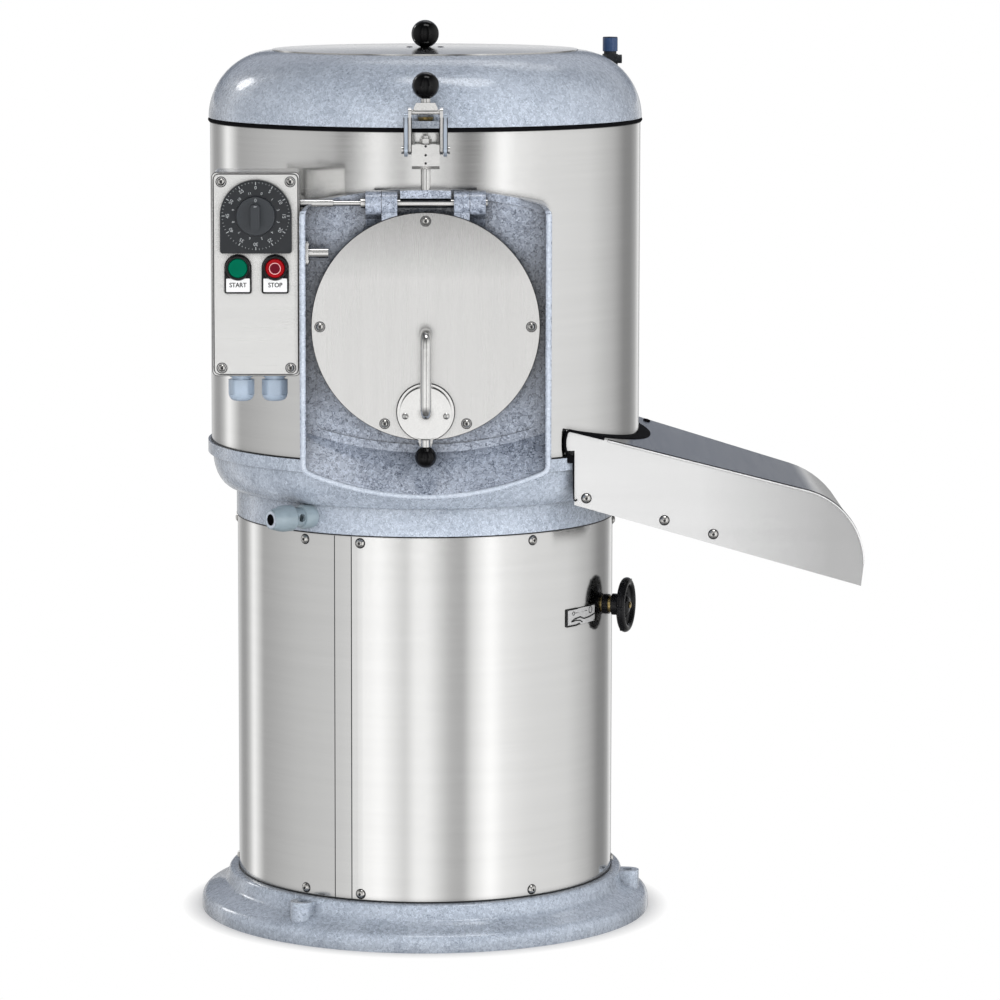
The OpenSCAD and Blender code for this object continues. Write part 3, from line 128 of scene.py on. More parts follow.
def lathe(name: str, profile: Pairs, place: Matrix, steps: int = 48) -> Object:
    """Turn a profile of (radius, height) pairs about its own Z axis and place it.

    A point is (r cos a, r sin a, h), with a running once round.

    Args:
        name: Name of the piece.
        profile: Radius and height pairs, from the foot to the top.
        place: Where the turned shape goes, in metres.
        steps: Points round the axis.

    Returns:
        The new object.
    """
    p = np.asarray(profile, float) * MM
    a = np.linspace(0, TURN, steps, endpoint=False)
    heights = np.repeat(p[:, 1:2], steps, 1)
    points = np.stack(
        [np.outer(p[:, 0], np.cos(a)), np.outer(p[:, 0], np.sin(a)), heights], axis=-1
    )
    made = object_from_arrays(name, points.reshape(-1, 3), grid_faces(len(p), steps, False, True))
    made.data.transform(place)
    tidy_mesh(made)
    return made


def tidy_mesh(made: Object) -> None:
    """Merge the doubles of a mesh and turn its faces outwards.

    Args:
        made: The object whose mesh is changed.
    """
    bm = bmesh.new()
    bm.from_mesh(made.data)
    bmesh.ops.remove_doubles(bm, verts=bm.verts, dist=1e-6)
    bmesh.ops.recalc_face_normals(bm, faces=bm.faces)
    bm.to_mesh(made.data)
    bm.free()


def shade_smooth(made: Object) -> None:
    """Shade every face of a mesh smooth."""
    made.data.polygons.foreach_set("use_smooth", np.ones(len(made.data.polygons), bool))


def slab(name: str, outline: np.ndarray, thick: float, place: Matrix) -> Object:
    """Give a flat outline a thickness, and place it.

    The front is the outline at height thick, the back the same outline at 0.

    Args:
        name: Name of the piece.
        outline: Array (n, 2) of points, counter-clockwise.
        thick: Its thickness.
        place: Where the slab goes, in metres.

    Returns:
        The new object.
    """
    n = len(outline)
    points = np.concatenate([np.c_[outline, np.full(n, h)] for h in (0.0, thick)])
    ring = np.arange(n)
    sides = np.stack([ring, (ring + 1) % n, (ring + 1) % n + n, ring + n], axis=-1)
    ends = [list(range(n - 1, -1, -1)), list(range(n, 2 * n))]
    mesh = bpy.data.meshes.new(name)
    mesh.from_pydata((points * MM).tolist(), [], ends + sides.tolist())
    mesh.transform(place)
    return linked(name, mesh)


def rounded_outline(width: float, height: float, corner: float, steps: int = 6) -> np.ndarray:
    """Outline of a rectangle with quarter circles at its corners, centred on the origin.

    Args:
        width: Full width.
        height: Full height.
        corner: Corner radius.
        steps: Parts in each quarter circle.

    Returns:
        Array (n, 2) of points.
    """
    t = np.linspace(0, math.pi / 2, steps + 1)
    parts = []
    for k, (sx, sy) in enumerate([(1, 1), (-1, 1), (-1, -1), (1, -1)]):
        a = t + k * math.pi / 2
        middle = (sx * (width / 2 - corner), sy * (height / 2 - corner))
        parts.append(np.c_[middle[0] + corner * np.cos(a), middle[1] + corner * np.sin(a)])
    return np.concatenate(parts)


def tube(
    name: str, path: np.ndarray, radius: float, steps: int = 12, closed: bool = False
) -> Object:
    """Carry a circle along a path.

    At each point the circle lies square to the path's own direction, between a
    side vector and its cross product with that direction.

    Args:
        name: Name of the piece.
        path: Array (n, 3) in metres.
        radius: Radius in millimetres.
        steps: Points round the circle.
        closed: Whether the path's end joins its start.

    Returns:
        The new object.
    """
    path = np.asarray(path, float)
    ahead = np.roll(path, -1, 0) - np.roll(path, 1, 0)
    if not closed:
        ahead[0], ahead[-1] = path[1] - path[0], path[-1] - path[-2]
    ahead /= np.linalg.norm(ahead, axis=1, keepdims=True)
    nearly_upright = abs(ahead[:, 2]).max() >= 0.95
    seed = np.array([0.0, 1.0, 0.0] if nearly_upright else [0.0, 0.0, 1.0])
    side = np.cross(ahead, seed)
    side /= np.linalg.norm(side, axis=1, keepdims=True)
    up = np.cross(side, ahead)
    a = np.linspace(0, TURN, steps, endpoint=False)
    ring = side[:, None] * np.cos(a)[None, :, None] + up[:, None] * np.sin(a)[None, :, None]
    points = path[:, None] + radius * MM * ring
    faces = grid_faces(len(path), steps, closed, True)
    made = object_from_arrays(name, points.reshape(-1, 3), faces)
    tidy_mesh(made)
    return made


def words(
    name: str, text: str, height: float, place: Matrix, narrow: float = 1.0
) -> Object:
    """Flat lettering as a mesh, centred where it is placed.

    Args:
        name: Name of the piece.
        text: What it says.
        height: Size of the letters.
        place: Where the lettering goes, in metres, reading along local X.
        narrow: Width of the letters as a share of their usual width.

    Returns:
        The new mesh object.
    """
    curve = bpy.data.curves.new(name, "FONT")
    curve.body = text
    curve.size = height * MM
    curve.align_x = curve.align_y = "CENTER"
    curve.extrude = 0.04 * MM
    curve.resolution_u = 3
    drawn = linked(name + "_curve", curve)
    bpy.context.view_layer.update()
    mesh = bpy.data.meshes.new_from_object(drawn)
    bpy.data.objects.remove(drawn)
    mesh.name = name
    mesh.transform(place @ Matrix.Diagonal((narrow, 1.0, 1.0, 1.0)))
    return linked(name, mesh)


def joined(name: str, parts: Sequence[Object]) -> Object:
    """Join several meshes into one object.

    Args:
        name: Name of the joined piece.
        parts: Two or more mesh objects that sit at the origin.

    Returns:
        The joined object.
    """
    bpy.ops.object.select_all(action="DESELECT")
    for p in parts:
        p.select_set(True)
    bpy.context.view_layer.objects.active = parts[0]
    bpy.ops.object.join()
    made = bpy.context.view_layer.objects.active
    made.name = made.data.name = name
    return made


def at(x: float, y: float, z: float) -> Matrix:
    """Place of a point given in millimetres, as a matrix in metres."""
    return Matrix.Translation(Vector((x, y, z)) * MM)


def turned(degrees: float, axis: str) -> Matrix:
    """Turn by some degrees about the axis of that letter."""
    return Matrix.Rotation(math.radians(degrees), 4, axis)


def facing_front(x: float, y: float, z: float, turn: float = 0.0) -> Matrix:
    """Place for a flat piece that faces the front.

    Args:
        x: Place of its middle.
        y: Place of its back.
        z: Height of its middle.
        turn: Degrees that the piece is turned in its own plane.

    Returns:
        The matrix, in metres.
    """
    return at(x, y, z) @ turned(90, "X") @ turned(turn, "Z")


def on_cabinet(azimuth: float, radius: float, z: float) -> Matrix:
    """Place for a flat piece that faces outwards on the cabinet.

    Args:
        azimuth: Where it sits.
        radius: Distance of the piece's back from the axis.
        z: Height of its middle.

    Returns:
        The matrix, in metres.
    """
    return turned(azimuth, "Z") @ facing_front(0, -radius, z)


def upright_path(line: np.ndarray, y: float) -> np.ndarray:
    """Path in metres through (x, z) pairs that all lie at one y."""
    return np.c_[line[:, 0], np.full(len(line), y), line[:, 1]] * MM


def round_path(radius: float, azimuths: Sequence[float], heights: Sequence[float]) -> np.ndarray:
    """Path in metres on an upright cylinder, a point for each azimuth and height."""
    a = np.radians(azimuths)
    return np.c_[radius * np.sin(a), -radius * np.cos(a), heights] * MM


# Shader helpers


@dataclass
class Net:
    """A node tree being wired, with short calls for the nodes it uses."""

    tree: bpy.types.NodeTree

    def feed(self, into: Socket, value: object) -> None:
        """Link a socket to an input, or set the input to a plain value.

        Args:
            into: The input.
            value: Socket or plain value.
        """
        if isinstance(value, Socket):
            self.tree.links.new(value, into)
        else:
            into.default_value = value

    def put(self, node: Node, **settings: object) -> Node:
        """Set a node's properties, or its inputs where no property has that name.

        Args:
            node: The node.
            **settings: Values or sockets, with underscores for spaces.

        Returns:
            The same node.
        """
        for key, value in settings.items():
            if hasattr(node, key):
                setattr(node, key, value)
            else:
                self.feed(node.inputs[key.replace("_", " ")], value)
        return node

    def node(self, kind: str, **settings: object) -> Node:
        """Add a node of Blender's type and set it as put does."""
        return self.put(self.tree.nodes.new(kind), **settings)

    def math(self, operation: str, *values: object) -> Socket:
        """Add a Math node.

        Args:
            operation: Blender's name of the operation.
            *values: One to three numbers or sockets.

        Returns:
            The result's socket.
        """
        made = self.node("ShaderNodeMath", operation=operation)
        for socket, value in zip(made.inputs, values):
            self.feed(socket, value)
        return made.outputs[0]

    def vector(self, operation: str, a: object, b: object = None) -> Socket:
        """Add a Vector Math node.

        Args:
            operation: Blender's name of the operation.
            a: Vector or socket.
            b: Second vector, or the factor of SCALE, or None.

        Returns:
            The result's socket.
        """
        made = self.node("ShaderNodeVectorMath", operation=operation)
        self.feed(made.inputs[0], a)
        if b is not None:
            self.feed(made.inputs[3 if operation == "SCALE" else 1], b)
        return made.outputs["Value" if operation in ("LENGTH", "DOT_PRODUCT") else "Vector"]

    def noise(
        self, vector: Socket, scale: float, detail: float, rough: float
    ) -> Socket:
        """Add a Noise Texture and give its value.

        Args:
            vector: Where the pattern is read.
            scale: Scale of the pattern.
            detail: Octaves.
            rough: Roughness of the octaves.

        Returns:
            The value's socket.
        """
        made = self.node(
            "ShaderNodeTexNoise", Vector=vector, Scale=scale, Detail=detail, Roughness=rough
        )
        return made.outputs[0]

    def ramp(
        self, value: Socket, stops: Sequence[tuple[float, Triple]]
    ) -> Socket:
        """Add a Color Ramp.

        Args:
            value: Socket that is looked up.
            stops: Position and colour pairs.

        Returns:
            The colour's socket.
        """
        made = self.node("ShaderNodeValToRGB")
        elements = made.color_ramp.elements
        while len(elements) < len(stops):
            elements.new(1.0)
        for element, (place, colour) in zip(elements, stops):
            element.position = place
            element.color = (*colour, 1.0)
        self.feed(made.inputs[0], value)
        return made.outputs[0]

    def spread(
        self, value: Socket, low: float, high: float, to_low: object, to_high: object
    ) -> Socket:
        """Map a value's range to another, clamped.

        Args:
            value: Socket that is mapped.
            low: Start of its range.
            high: End of its range.
            to_low: What the start becomes, a number or a socket.
            to_high: What the end becomes, a number or a socket.

        Returns:
            The mapped value's socket.
        """
        made = self.node("ShaderNodeMapRange")
        for socket, number in zip(made.inputs, (value, low, high, to_low, to_high)):
            self.feed(socket, number)
        return made.outputs[0]

    def mix(self, share: object, a: object, b: object) -> Socket:
        """Mix two colours.

        Args:
            share: Number or socket, the second colour's share.
            a: Colour or socket.
            b: Colour or socket.

        Returns:
            The colour's socket.
        """
        made = self.node("ShaderNodeMix", data_type="RGBA")
        for i, value in ((0, share), (6, a), (7, b)):
            self.feed(made.inputs[i], (*value, 1.0) if isinstance(value, tuple) else value)
        return made.outputs[2]


def effect(name: str, inputs: dict[str, object]) -> tuple[Net, Node, Node]:
    """Start a shader group that turns a place into a colour, a roughness and a height.

    Args:
        name: Name of the effect.
        inputs: Default of each input besides the place, by its name.

    Returns:
        The Net of the group, its input node and its output node.
    """
    group = bpy.data.node_groups.new(name, "ShaderNodeTree")
    face = group.interface
    face.new_socket("Vector", in_out="INPUT", socket_type="NodeSocketVector")
    for label, default in inputs.items():
        colour = isinstance(default, tuple)
        kind = "NodeSocketColor" if colour else "NodeSocketFloat"
        socket = face.new_socket(label, in_out="INPUT", socket_type=kind)
        socket.default_value = (*default, 1.0) if colour else default
    for label, kind in (("Color", "Color"), ("Rough", "Float"), ("Height", "Float")):
        face.new_socket(label, in_out="OUTPUT", socket_type="NodeSocket" + kind)
    net = Net(group)
    return net, net.node("NodeGroupInput"), net.node("NodeGroupOutput")


class Effects:
    """The shared shader groups of the machine's finishes, each built once."""

    def __init__(self) -> None:
        """Build every group."""
        self.hammer = self._hammer()
        self.brushing = self._brushing()
        self.grime = self._grime()

    def _hammer(self) -> bpy.types.NodeTree:
        """Hammered enamel: dark and pale curls, the contour lines of two noises in patches.

        Returns:
            The group.
        """
        net, a, z = effect("HammerEnamel", {
            "Pale": (0.5, 0.56, 0.66), "Deep": (0.3, 0.36, 0.46), "Scale": 1.0, "Contrast": 1.0,
        })
        where = net.vector("SCALE", a.outputs["Vector"], a.outputs["Scale"])
        fine = net.noise(where, 185, 2.5, 0.6)
        finer = net.noise(net.vector("ADD", where, (3.1, 1.7, 5.3)), 250, 2.5, 0.62)
        patch = net.spread(net.noise(where, 150, 3, 0.6), 0.44, 0.56, 0.0, 1.0)
        between = net.math("SUBTRACT", 1.0, patch)
        cloud = net.noise(where, 22, 5, 0.62)

        def curls(
            value: Socket, middle: float, width: float, share: Socket
        ) -> Socket:
            """Contour line of a noise round one value, kept where its share is."""
            away = net.math("ABSOLUTE", net.math("SUBTRACT", value, middle))
            return net.math("MULTIPLY", net.spread(away, 0.0, width, 1.0, 0.0), share)

        dark = net.math(
            "MAXIMUM", curls(fine, 0.46, 0.036, patch), curls(finer, 0.54, 0.034, between)
        )
        light = net.math(
            "MAXIMUM", curls(fine, 0.55, 0.034, between), curls(finer, 0.44, 0.034, patch)
        )
        share = net.math("MULTIPLY_ADD", net.spread(cloud, 0.32, 0.68, 0.0, 1.0), 0.26, 0.27)
        curl = net.math("MULTIPLY_ADD", light, -0.62, net.math("MULTIPLY", dark, 0.46))
        share = net.math("MULTIPLY_ADD", curl, a.outputs["Contrast"], share)
        share = net.math("MAXIMUM", net.math("MINIMUM", share, 1.0), 0.0)
        net.put(
            z,
            Color=net.mix(share, a.outputs["Pale"], a.outputs["Deep"]),
            Rough=net.spread(fine, 0.3, 0.7, 0.2, 0.36),
            Height=net.math("MULTIPLY_ADD", dark, -0.8, fine),
        )
        return net.tree

    def _brushing(self) -> bpy.types.NodeTree:
        """Fine parallel scratches: noise drawn out along one direction of the given place.

        Returns:
            The group.
        """
        net, a, z = effect("BrushedScratches", {
            "Base": (0.6, 0.6, 0.6), "Strength": 0.5, "Low": 0.12, "High": 0.2,
        })
        fine = net.noise(a.outputs["Vector"], 1.0, 3, 0.7)
        slow = net.vector("MULTIPLY", a.outputs["Vector"], (0.35, 0.35, 0.05))
        cloud = net.spread(net.noise(slow, 1.0, 3, 0.5), 0.3, 0.7, -1.0, 1.0)
        scratch = net.spread(fine, 0.25, 0.75, -1.0, 1.0)
        tone = net.math("MULTIPLY", scratch, a.outputs["Strength"])
        tone = net.math("MULTIPLY_ADD", tone, 0.08, 1.0)
        tone = net.math("MULTIPLY_ADD", cloud, 0.015, tone)
        net.put(
            z,
            Color=net.vector("SCALE", a.outputs["Base"], tone),
            Rough=net.spread(fine, 0.3, 0.7, a.outputs["Low"], a.outputs["High"]),
            Height=net.math("MULTIPLY", fine, a.outputs["Strength"]),
        )
        return net.tree

    def _grime(self) -> bpy.types.NodeTree:
        """Soft uneven dulling, as handling and dust leave it.

        Returns:
            The group.
        """
        net, a, z = effect("HandlingMarks", {
            "Base": (0.5, 0.5, 0.5), "Low": 0.3, "High": 0.5, "Amount": 0.1,
        })
        cloud = net.noise(a.outputs["Vector"], 34, 5, 0.6)
        speck = net.noise(a.outputs["Vector"], 900, 2, 0.5)
        tone = net.spread(cloud, 0.3, 0.7, -1.0, 1.0)
        tone = net.math("ADD", net.math("MULTIPLY", tone, a.outputs["Amount"]), 1.0)
        tone = net.math("MULTIPLY_ADD", net.spread(speck, 0.3, 0.7, -1.0, 1.0), 0.04, tone)
        net.put(
            z,
            Color=net.vector("SCALE", a.outputs["Base"], tone),
            Rough=net.spread(cloud, 0.3, 0.7, a.outputs["Low"], a.outputs["High"]),
            Height=speck,
        )
        return net.tree


def in_crevices(
    net: Net, colour: Socket, reach: float, darkest: float
) -> Socket:
    """Darken a colour where other surfaces stand close: painted shade in corners, gaps and
    recesses.

    Args:
        net: The material's Net.
        colour: The colour's socket.
        reach: How near the other surfaces are, in metres.
        darkest: Share of the colour that is left in the deepest corner.

    Returns:
        The darkened colour's socket.
    """
    # Ambient occlusion darkens the colour here: painted shade.
    near = net.node("ShaderNodeAmbientOcclusion", samples=6, Distance=reach)
    return net.vector("SCALE", colour, net.spread(near.outputs["AO"], 0.3, 0.9, darkest, 1.0))


@dataclass(frozen=True)
class Wiring:
    """A new material: its Net, its Principled shader, Object coordinates and the groups."""

    net: Net
    shader: Node
    place: Socket
    effects: Effects

    def join(
        self,
        group: Node,
        relief: float,
        distance: float,
        crevice: tuple[float, float] | None,
    ) -> None:
        """Join an effect's colour, roughness and height to the shader.

        Args:
            group: The effect's node.
            relief: Strength of the bump.
            distance: Depth of the bump in metres.
            crevice: Reach and darkest share of the painted shade in corners, or None for no painted
                shade.
        """
        colour = group.outputs["Color"]
        # Painted shade: the colour is darkened where other surfaces stand close.
        if crevice:
            colour = in_crevices(self.net, colour, *crevice)
        bump = self.net.node(
            "ShaderNodeBump", Strength=relief, Distance=distance, Height=group.outputs["Height"]
        )
        self.net.put(
            self.shader, Base_Color=colour, Roughness=group.outputs["Rough"],
            Normal=bump.outputs["Normal"],
        )


@dataclass(frozen=True)
class Finish:
    """A named material that reads Object coordinates."""

    name: str

    def build(self, effects: Effects) -> bpy.types.Material:
        """Make the material.

        Args:
            effects: The shared groups.

        Returns:
            The material.
        """
        material = bpy.data.materials.new(self.name)
        material.use_nodes = True
        net = Net(material.node_tree)
        place = net.node("ShaderNodeTexCoord").outputs["Object"]
        shader = material.node_tree.nodes["Principled BSDF"]
        self.wire(Wiring(net, shader, place, effects))
        return material

    def wire(self, on: Wiring) -> None:
        """Wire the finish's own effect, as each kind of finish says."""
        raise NotImplementedError


@dataclass(frozen=True)
class HammerFinish(Finish):
    """Glossy hammered enamel on the castings."""

    pale: Triple = (0.66, 0.735, 0.84)
    deep: Triple = (0.15, 0.185, 0.25)
    scale: float = 1.0
    relief: float = 0.3
    coat: float = 0.6
    contrast: float = 1.0
    # Painted shade in corners: its reach in metres and the darkest share of the colour left.
    crevice: tuple[float, float] = (0.03, 0.4)

    def wire(self, on: Wiring) -> None:
        """Wire the curls under a clear coat.

        Args:
            on: The material being wired.
        """
        group = on.net.node(
            "ShaderNodeGroup", node_tree=on.effects.hammer, Vector=on.place,
            Pale=(*self.pale, 1), Deep=(*self.deep, 1), Scale=self.scale, Contrast=self.contrast,
        )
        on.net.put(on.shader, Coat_Weight=self.coat, Coat_Roughness=0.07)
        on.join(group, self.relief, 0.0004, self.crevice)


@dataclass(frozen=True)
class SheetFinish(Finish):
    """Brushed stainless sheet.

    The fall is painted shade, the tone darkening along the sheet: an axis, a start
    and an end along it in metres, and the share of the tone that is left at the end.
    """

    grain: Grain
    colour: Triple = (0.66, 0.655, 0.645)
    strength: float = 0.35
    relief: float = 0.012
    rough: tuple[float, float] = (0.1, 0.17)
    fall: tuple[int, float, float, float] | None = None

    def wire(self, on: Wiring) -> None:
        """Wire the scratches, slow along the grain and fine across it.

        Round grain reads azimuth and height, level grain reads height, upright
        grain reads width, and spun grain reads the distance from a centre.

        Args:
            on: The material being wired.
        """
        net = on.net
        x, y, z = net.node("ShaderNodeSeparateXYZ", Vector=on.place).outputs
        across = 1500.0
        if self.grain is Grain.LEVEL:
            reads = ((x, 9.0), (y, 9.0), (z, across))
        elif self.grain is Grain.UPRIGHT:
            reads = ((z, 9.0), (y, 900.0), (x, across))
        elif self.grain is Grain.ROUND:
            reads = ((net.math("ARCTAN2", x, y), 1.6), None, (z, across))
        else:
            squares = net.math("ADD", net.math("MULTIPLY", x, x), net.math("MULTIPLY", y, y))
            reads = ((net.math("ARCTAN2", x, y), 1.2), None, (net.math("SQRT", squares), across))
        grain = net.node("ShaderNodeCombineXYZ")
        for socket, read in zip(grain.inputs, reads):
            if read:
                net.feed(socket, net.math("MULTIPLY", *read))
        base = (*self.colour, 1)
        # Painted shade: the sheet's colour darkens along one axis, towards the end of the fall.
        if self.fall:
            axis, low, high, least = self.fall
            share = net.spread((x, y, z)[axis], low, high, 1.0, least)
            base = net.vector("SCALE", self.colour, share)
        group = net.node(
            "ShaderNodeGroup", node_tree=on.effects.brushing, Vector=grain.outputs[0],
            Base=base, Strength=self.strength, Low=self.rough[0], High=self.rough[1],
        )
        net.put(on.shader, Metallic=1.0)
        # The last argument is painted shade in corners.
        on.join(group, self.relief, 0.0001, (0.008, 0.35))


@dataclass(frozen=True)
class PlainFinish(Finish):
    """Any other finish: a colour with handling marks, dull or glossy, metal or not."""

    colour: Triple
    low: float
    high: float
    metal: float = 0.0
    coat: float = 0.0
    amount: float = 0.12
    relief: float = 0.06
    glow: float = 0.5

    def wire(self, on: Wiring) -> None:
        """Wire the marks. Only metals take painted shade in corners.

        Args:
            on: The material being wired.
        """
        group = on.net.node(
            "ShaderNodeGroup", node_tree=on.effects.grime, Vector=on.place,
            Base=(*self.colour, 1), Low=self.low, High=self.high, Amount=self.amount,
        )
        on.net.put(
            on.shader, Metallic=self.metal, Coat_Weight=self.coat, Coat_Roughness=0.06,
            Specular_IOR_Level=self.glow,
        )
        # Painted shade in corners, for metals only.
        crevice = (0.006, 0.35) if self.metal > 0.3 else None
        on.join(group, self.relief, 0.0002, crevice)


class Finishes:
    """Every finish of the machine, by a plain name."""

    def __init__(self) -> None:
        """Build the shared effects, then each finish once."""
        hammer, sheet, plain = HammerFinish, SheetFinish, PlainFinish
        glossy = {"amount": 0.08, "relief": 0.1}
        flat = {"amount": 0.05, "relief": 0.02}
        moulded = {"amount": 0.08, "relief": 0.12, "glow": 0.3}
        made = [
            hammer("casting_enamel"),
            # A darker copy of the casting enamel for the door's recess: painted shade.
            hammer("shaded_recess_enamel", (0.5, 0.56, 0.67), (0.05, 0.065, 0.1), 0.72, 0.4,
                   contrast=1.35, crevice=(0.04, 0.25)),
            # A paler, less contrasted copy of the casting enamel for lips and rims: painted
            # highlight.
            hammer("highlit_edge_enamel", (0.66, 0.72, 0.81), (0.34, 0.4, 0.49), relief=0.1,
                   crevice=(0.002, 0.9)),
            plain("smooth_enamel", (0.4, 0.46, 0.54), 0.16, 0.24, metal=0.5, coat=0.5, **glossy),
            plain("teal_enamel", (0.31, 0.385, 0.43), 0.16, 0.24, coat=0.5, **glossy),
            plain("gland_enamel", (0.4, 0.485, 0.59), 0.28, 0.4, amount=0.07),
            plain("collar_blue", (0.02, 0.06, 0.16), 0.25, 0.35, coat=0.2),
            sheet("round_sheet", Grain.ROUND, (0.7, 0.698, 0.69)),
            sheet("level_sheet", Grain.LEVEL, (0.72, 0.718, 0.708), 0.2, 0.006, (0.2, 0.28)),
            # Its fall is painted shade: the chute darkens towards its tip.
            sheet("chute_sheet", Grain.LEVEL, (0.7, 0.7, 0.7), 0.12, 0.004, (0.1, 0.14),
                  (0, 0.31, 0.46, 0.66)),
            # Its fall is painted shade: the door plate darkens towards its top.
            sheet("upright_sheet", Grain.UPRIGHT, (0.71, 0.705, 0.695), 0.03, 0.001, (0.24, 0.28),
                  (2, 0.765, 0.838, 0.62)),
            sheet("spun_sheet", Grain.SPUN, (0.74, 0.735, 0.72), 0.2, 0.004, (0.1, 0.16)),
            plain("polished_steel", (0.68, 0.675, 0.665), 0.06, 0.14, 1.0, amount=0.06,
                  relief=0.02),
            plain("screw_steel", (0.68, 0.67, 0.65), 0.12, 0.2, 1.0, amount=0.1, relief=0.03),
            # Near white, far brighter than the sheet it edges: painted highlight.
            plain("highlight_white", (0.93, 0.93, 0.93), 0.3, 0.4, 0.6, amount=0.03, relief=0.02),
            plain("label_steel", (0.6, 0.6, 0.6), 0.35, 0.45, 0.2, **flat),
            plain("knife_steel", (0.62, 0.62, 0.62), 0.25, 0.38, 1.0, amount=0.08),
            plain("oiled_iron", (0.2, 0.205, 0.215), 0.38, 0.55, 0.9, amount=0.2),
            plain("turned_brass", (0.62, 0.47, 0.2), 0.16, 0.3, 1.0, amount=0.15),
            # Black for real joints and print, and for painted shade lines, screw rings and dimples.
            plain("line_and_shade_black", (0.01, 0.01, 0.011), 0.4, 0.5, **flat),
            plain("letter_black", (0.02, 0.02, 0.022), 0.4, 0.5, **flat),
            # Real rubber, and also the black of painted shade in the chute's rim line and the
            # inlet's bore.
            plain("rubber_and_shade_black", (0.006, 0.006, 0.007), 0.7, 0.8, amount=0.15, relief=0.1,
                  glow=0.02),
            plain("wheel_black", (0.004, 0.004, 0.005), 0.2, 0.26, amount=0.05, relief=0.0,
                  glow=0.25),
            plain("black_ball", (0.002, 0.002, 0.0025), 0.03, 0.05, amount=0.03, relief=0.0,
                  glow=0.2),
            plain("timer_black", (0.018, 0.02, 0.023), 0.34, 0.46, **moulded),
            plain("knob_black", (0.035, 0.039, 0.044), 0.38, 0.5, **moulded),
            plain("bezel_black", (0.008, 0.008, 0.009), 0.3, 0.4, glow=0.2),
            plain("go_green", (0.0, 0.13, 0.07), 0.35, 0.45, **flat, glow=0.02),
            plain("halt_red", (0.34, 0.002, 0.006), 0.35, 0.45, **flat, glow=0.08),
            plain("cap_wine", (0.12, 0.003, 0.012), 0.35, 0.45, **flat, glow=0.08),
            plain("label_white", (0.86, 0.86, 0.86), 0.4, 0.5, amount=0.02, relief=0.02),
            plain("label_pink", (0.85, 0.42, 0.42), 0.3, 0.4, amount=0.02, relief=0.02),
            plain("scale_white", (0.42, 0.44, 0.45), 0.5, 0.6, **flat),
        ]
        effects = Effects()
        self.by_name = {f.name: f.build(effects) for f in made}

    def dress(self, target: Object, name: str) -> None:
        """Give an object one finish, by its name, in place of what it had."""
        target.data.materials.clear()
        target.data.materials.append(self.by_name[name])


# Sub-assemblies


@dataclass
class CadShell:
    """The CAD nodes, each with its finish and its shading."""

    finishes: Finishes
    plan: dict[str, str] = field(
        default_factory=lambda: {
            "casting_enamel": "base_casting pan_casting lid_casting bearing_housing"
            " lid_hinge_bracket",
            "shaded_recess_enamel": "door_frame door_casting",
            "smooth_enamel": "latch_arms",
            "teal_enamel": "inlet_fitting",
            "round_sheet": "side_panel service_panel seam_strips drum_shell",
            "level_sheet": "control_box control_cover box_bracket",
            "chute_sheet": "chute_hood chute_floor",
            "upright_sheet": "door_plate",
            "spun_sheet": "lid_plate",
            "polished_steel": "door_handle hinge_shaft lock_lever latch_post latch_block"
            " latch_lever lid_hinge_pin door_sensor air_pipe spindle spindle_bearings",
            "screw_steel": "panel_screws control_screws door_screws",
            "knife_steel": "knife_disc",
            "oiled_iron": "support_pillars motor motor_plate lift_wedge quill spindle_pulley"
            " motor_pulley",
            "rubber_and_shade_black": "drum_liner drum_gasket door_gasket chute_seal drive_belt",
            "black_ball": "lid_knob latch_ball lock_ball",
            "wheel_black": "handwheel",
            "timer_black": "timer_plate air_elbow",
            "knob_black": "timer_knob",
            "bezel_black": "button_bezels",
            "go_green": "start_button",
            "halt_red": "stop_button",
            "gland_enamel": "cable_glands",
            "turned_brass": "lid_catch wheel_bush",
        }
    )
    sharp: float = 30.0
    sharp_on_wheel: float = 60.0

    def build(self) -> None:
        """Give each CAD node its finish, smooth where faces meet gently."""
        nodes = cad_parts
        for finish, names in self.plan.items():
            angle = self.sharp_on_wheel if finish == "wheel_black" else self.sharp
            for name in names.split():
                self.finishes.dress(nodes[name], finish)
                soften(nodes[name], angle)
        left = set(nodes) - set(" ".join(self.plan.values()).split())
        if left:
            raise RuntimeError(f"CAD nodes without a finish: {sorted(left)}")
        LOG.info("dressed %d CAD nodes", len(nodes))


def soften(target: Object, angle: float) -> None:
    """Shade a mesh smooth, with sharp edges where faces meet at more than an angle.

    Args:
        target: The object, whose own points stay as they are.
        angle: Degrees.
    """
    shade_smooth(target)
    weld = target.modifiers.new("weld", "WELD")
    weld.merge_threshold = 0.00001
    smooth = target.modifiers.new("smooth", "EDGE_SPLIT")
    smooth.split_angle = math.radians(angle)


@dataclass
class Trim:
    """Thin pieces that ride on the machine's bodies."""

    finishes: Finishes

    def give(self, made: Object, finish: str, body: str) -> None:
        """Dress a piece with a finish and let it ride on a body, both by name."""
        self.finishes.dress(made, finish)
        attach(made, body)


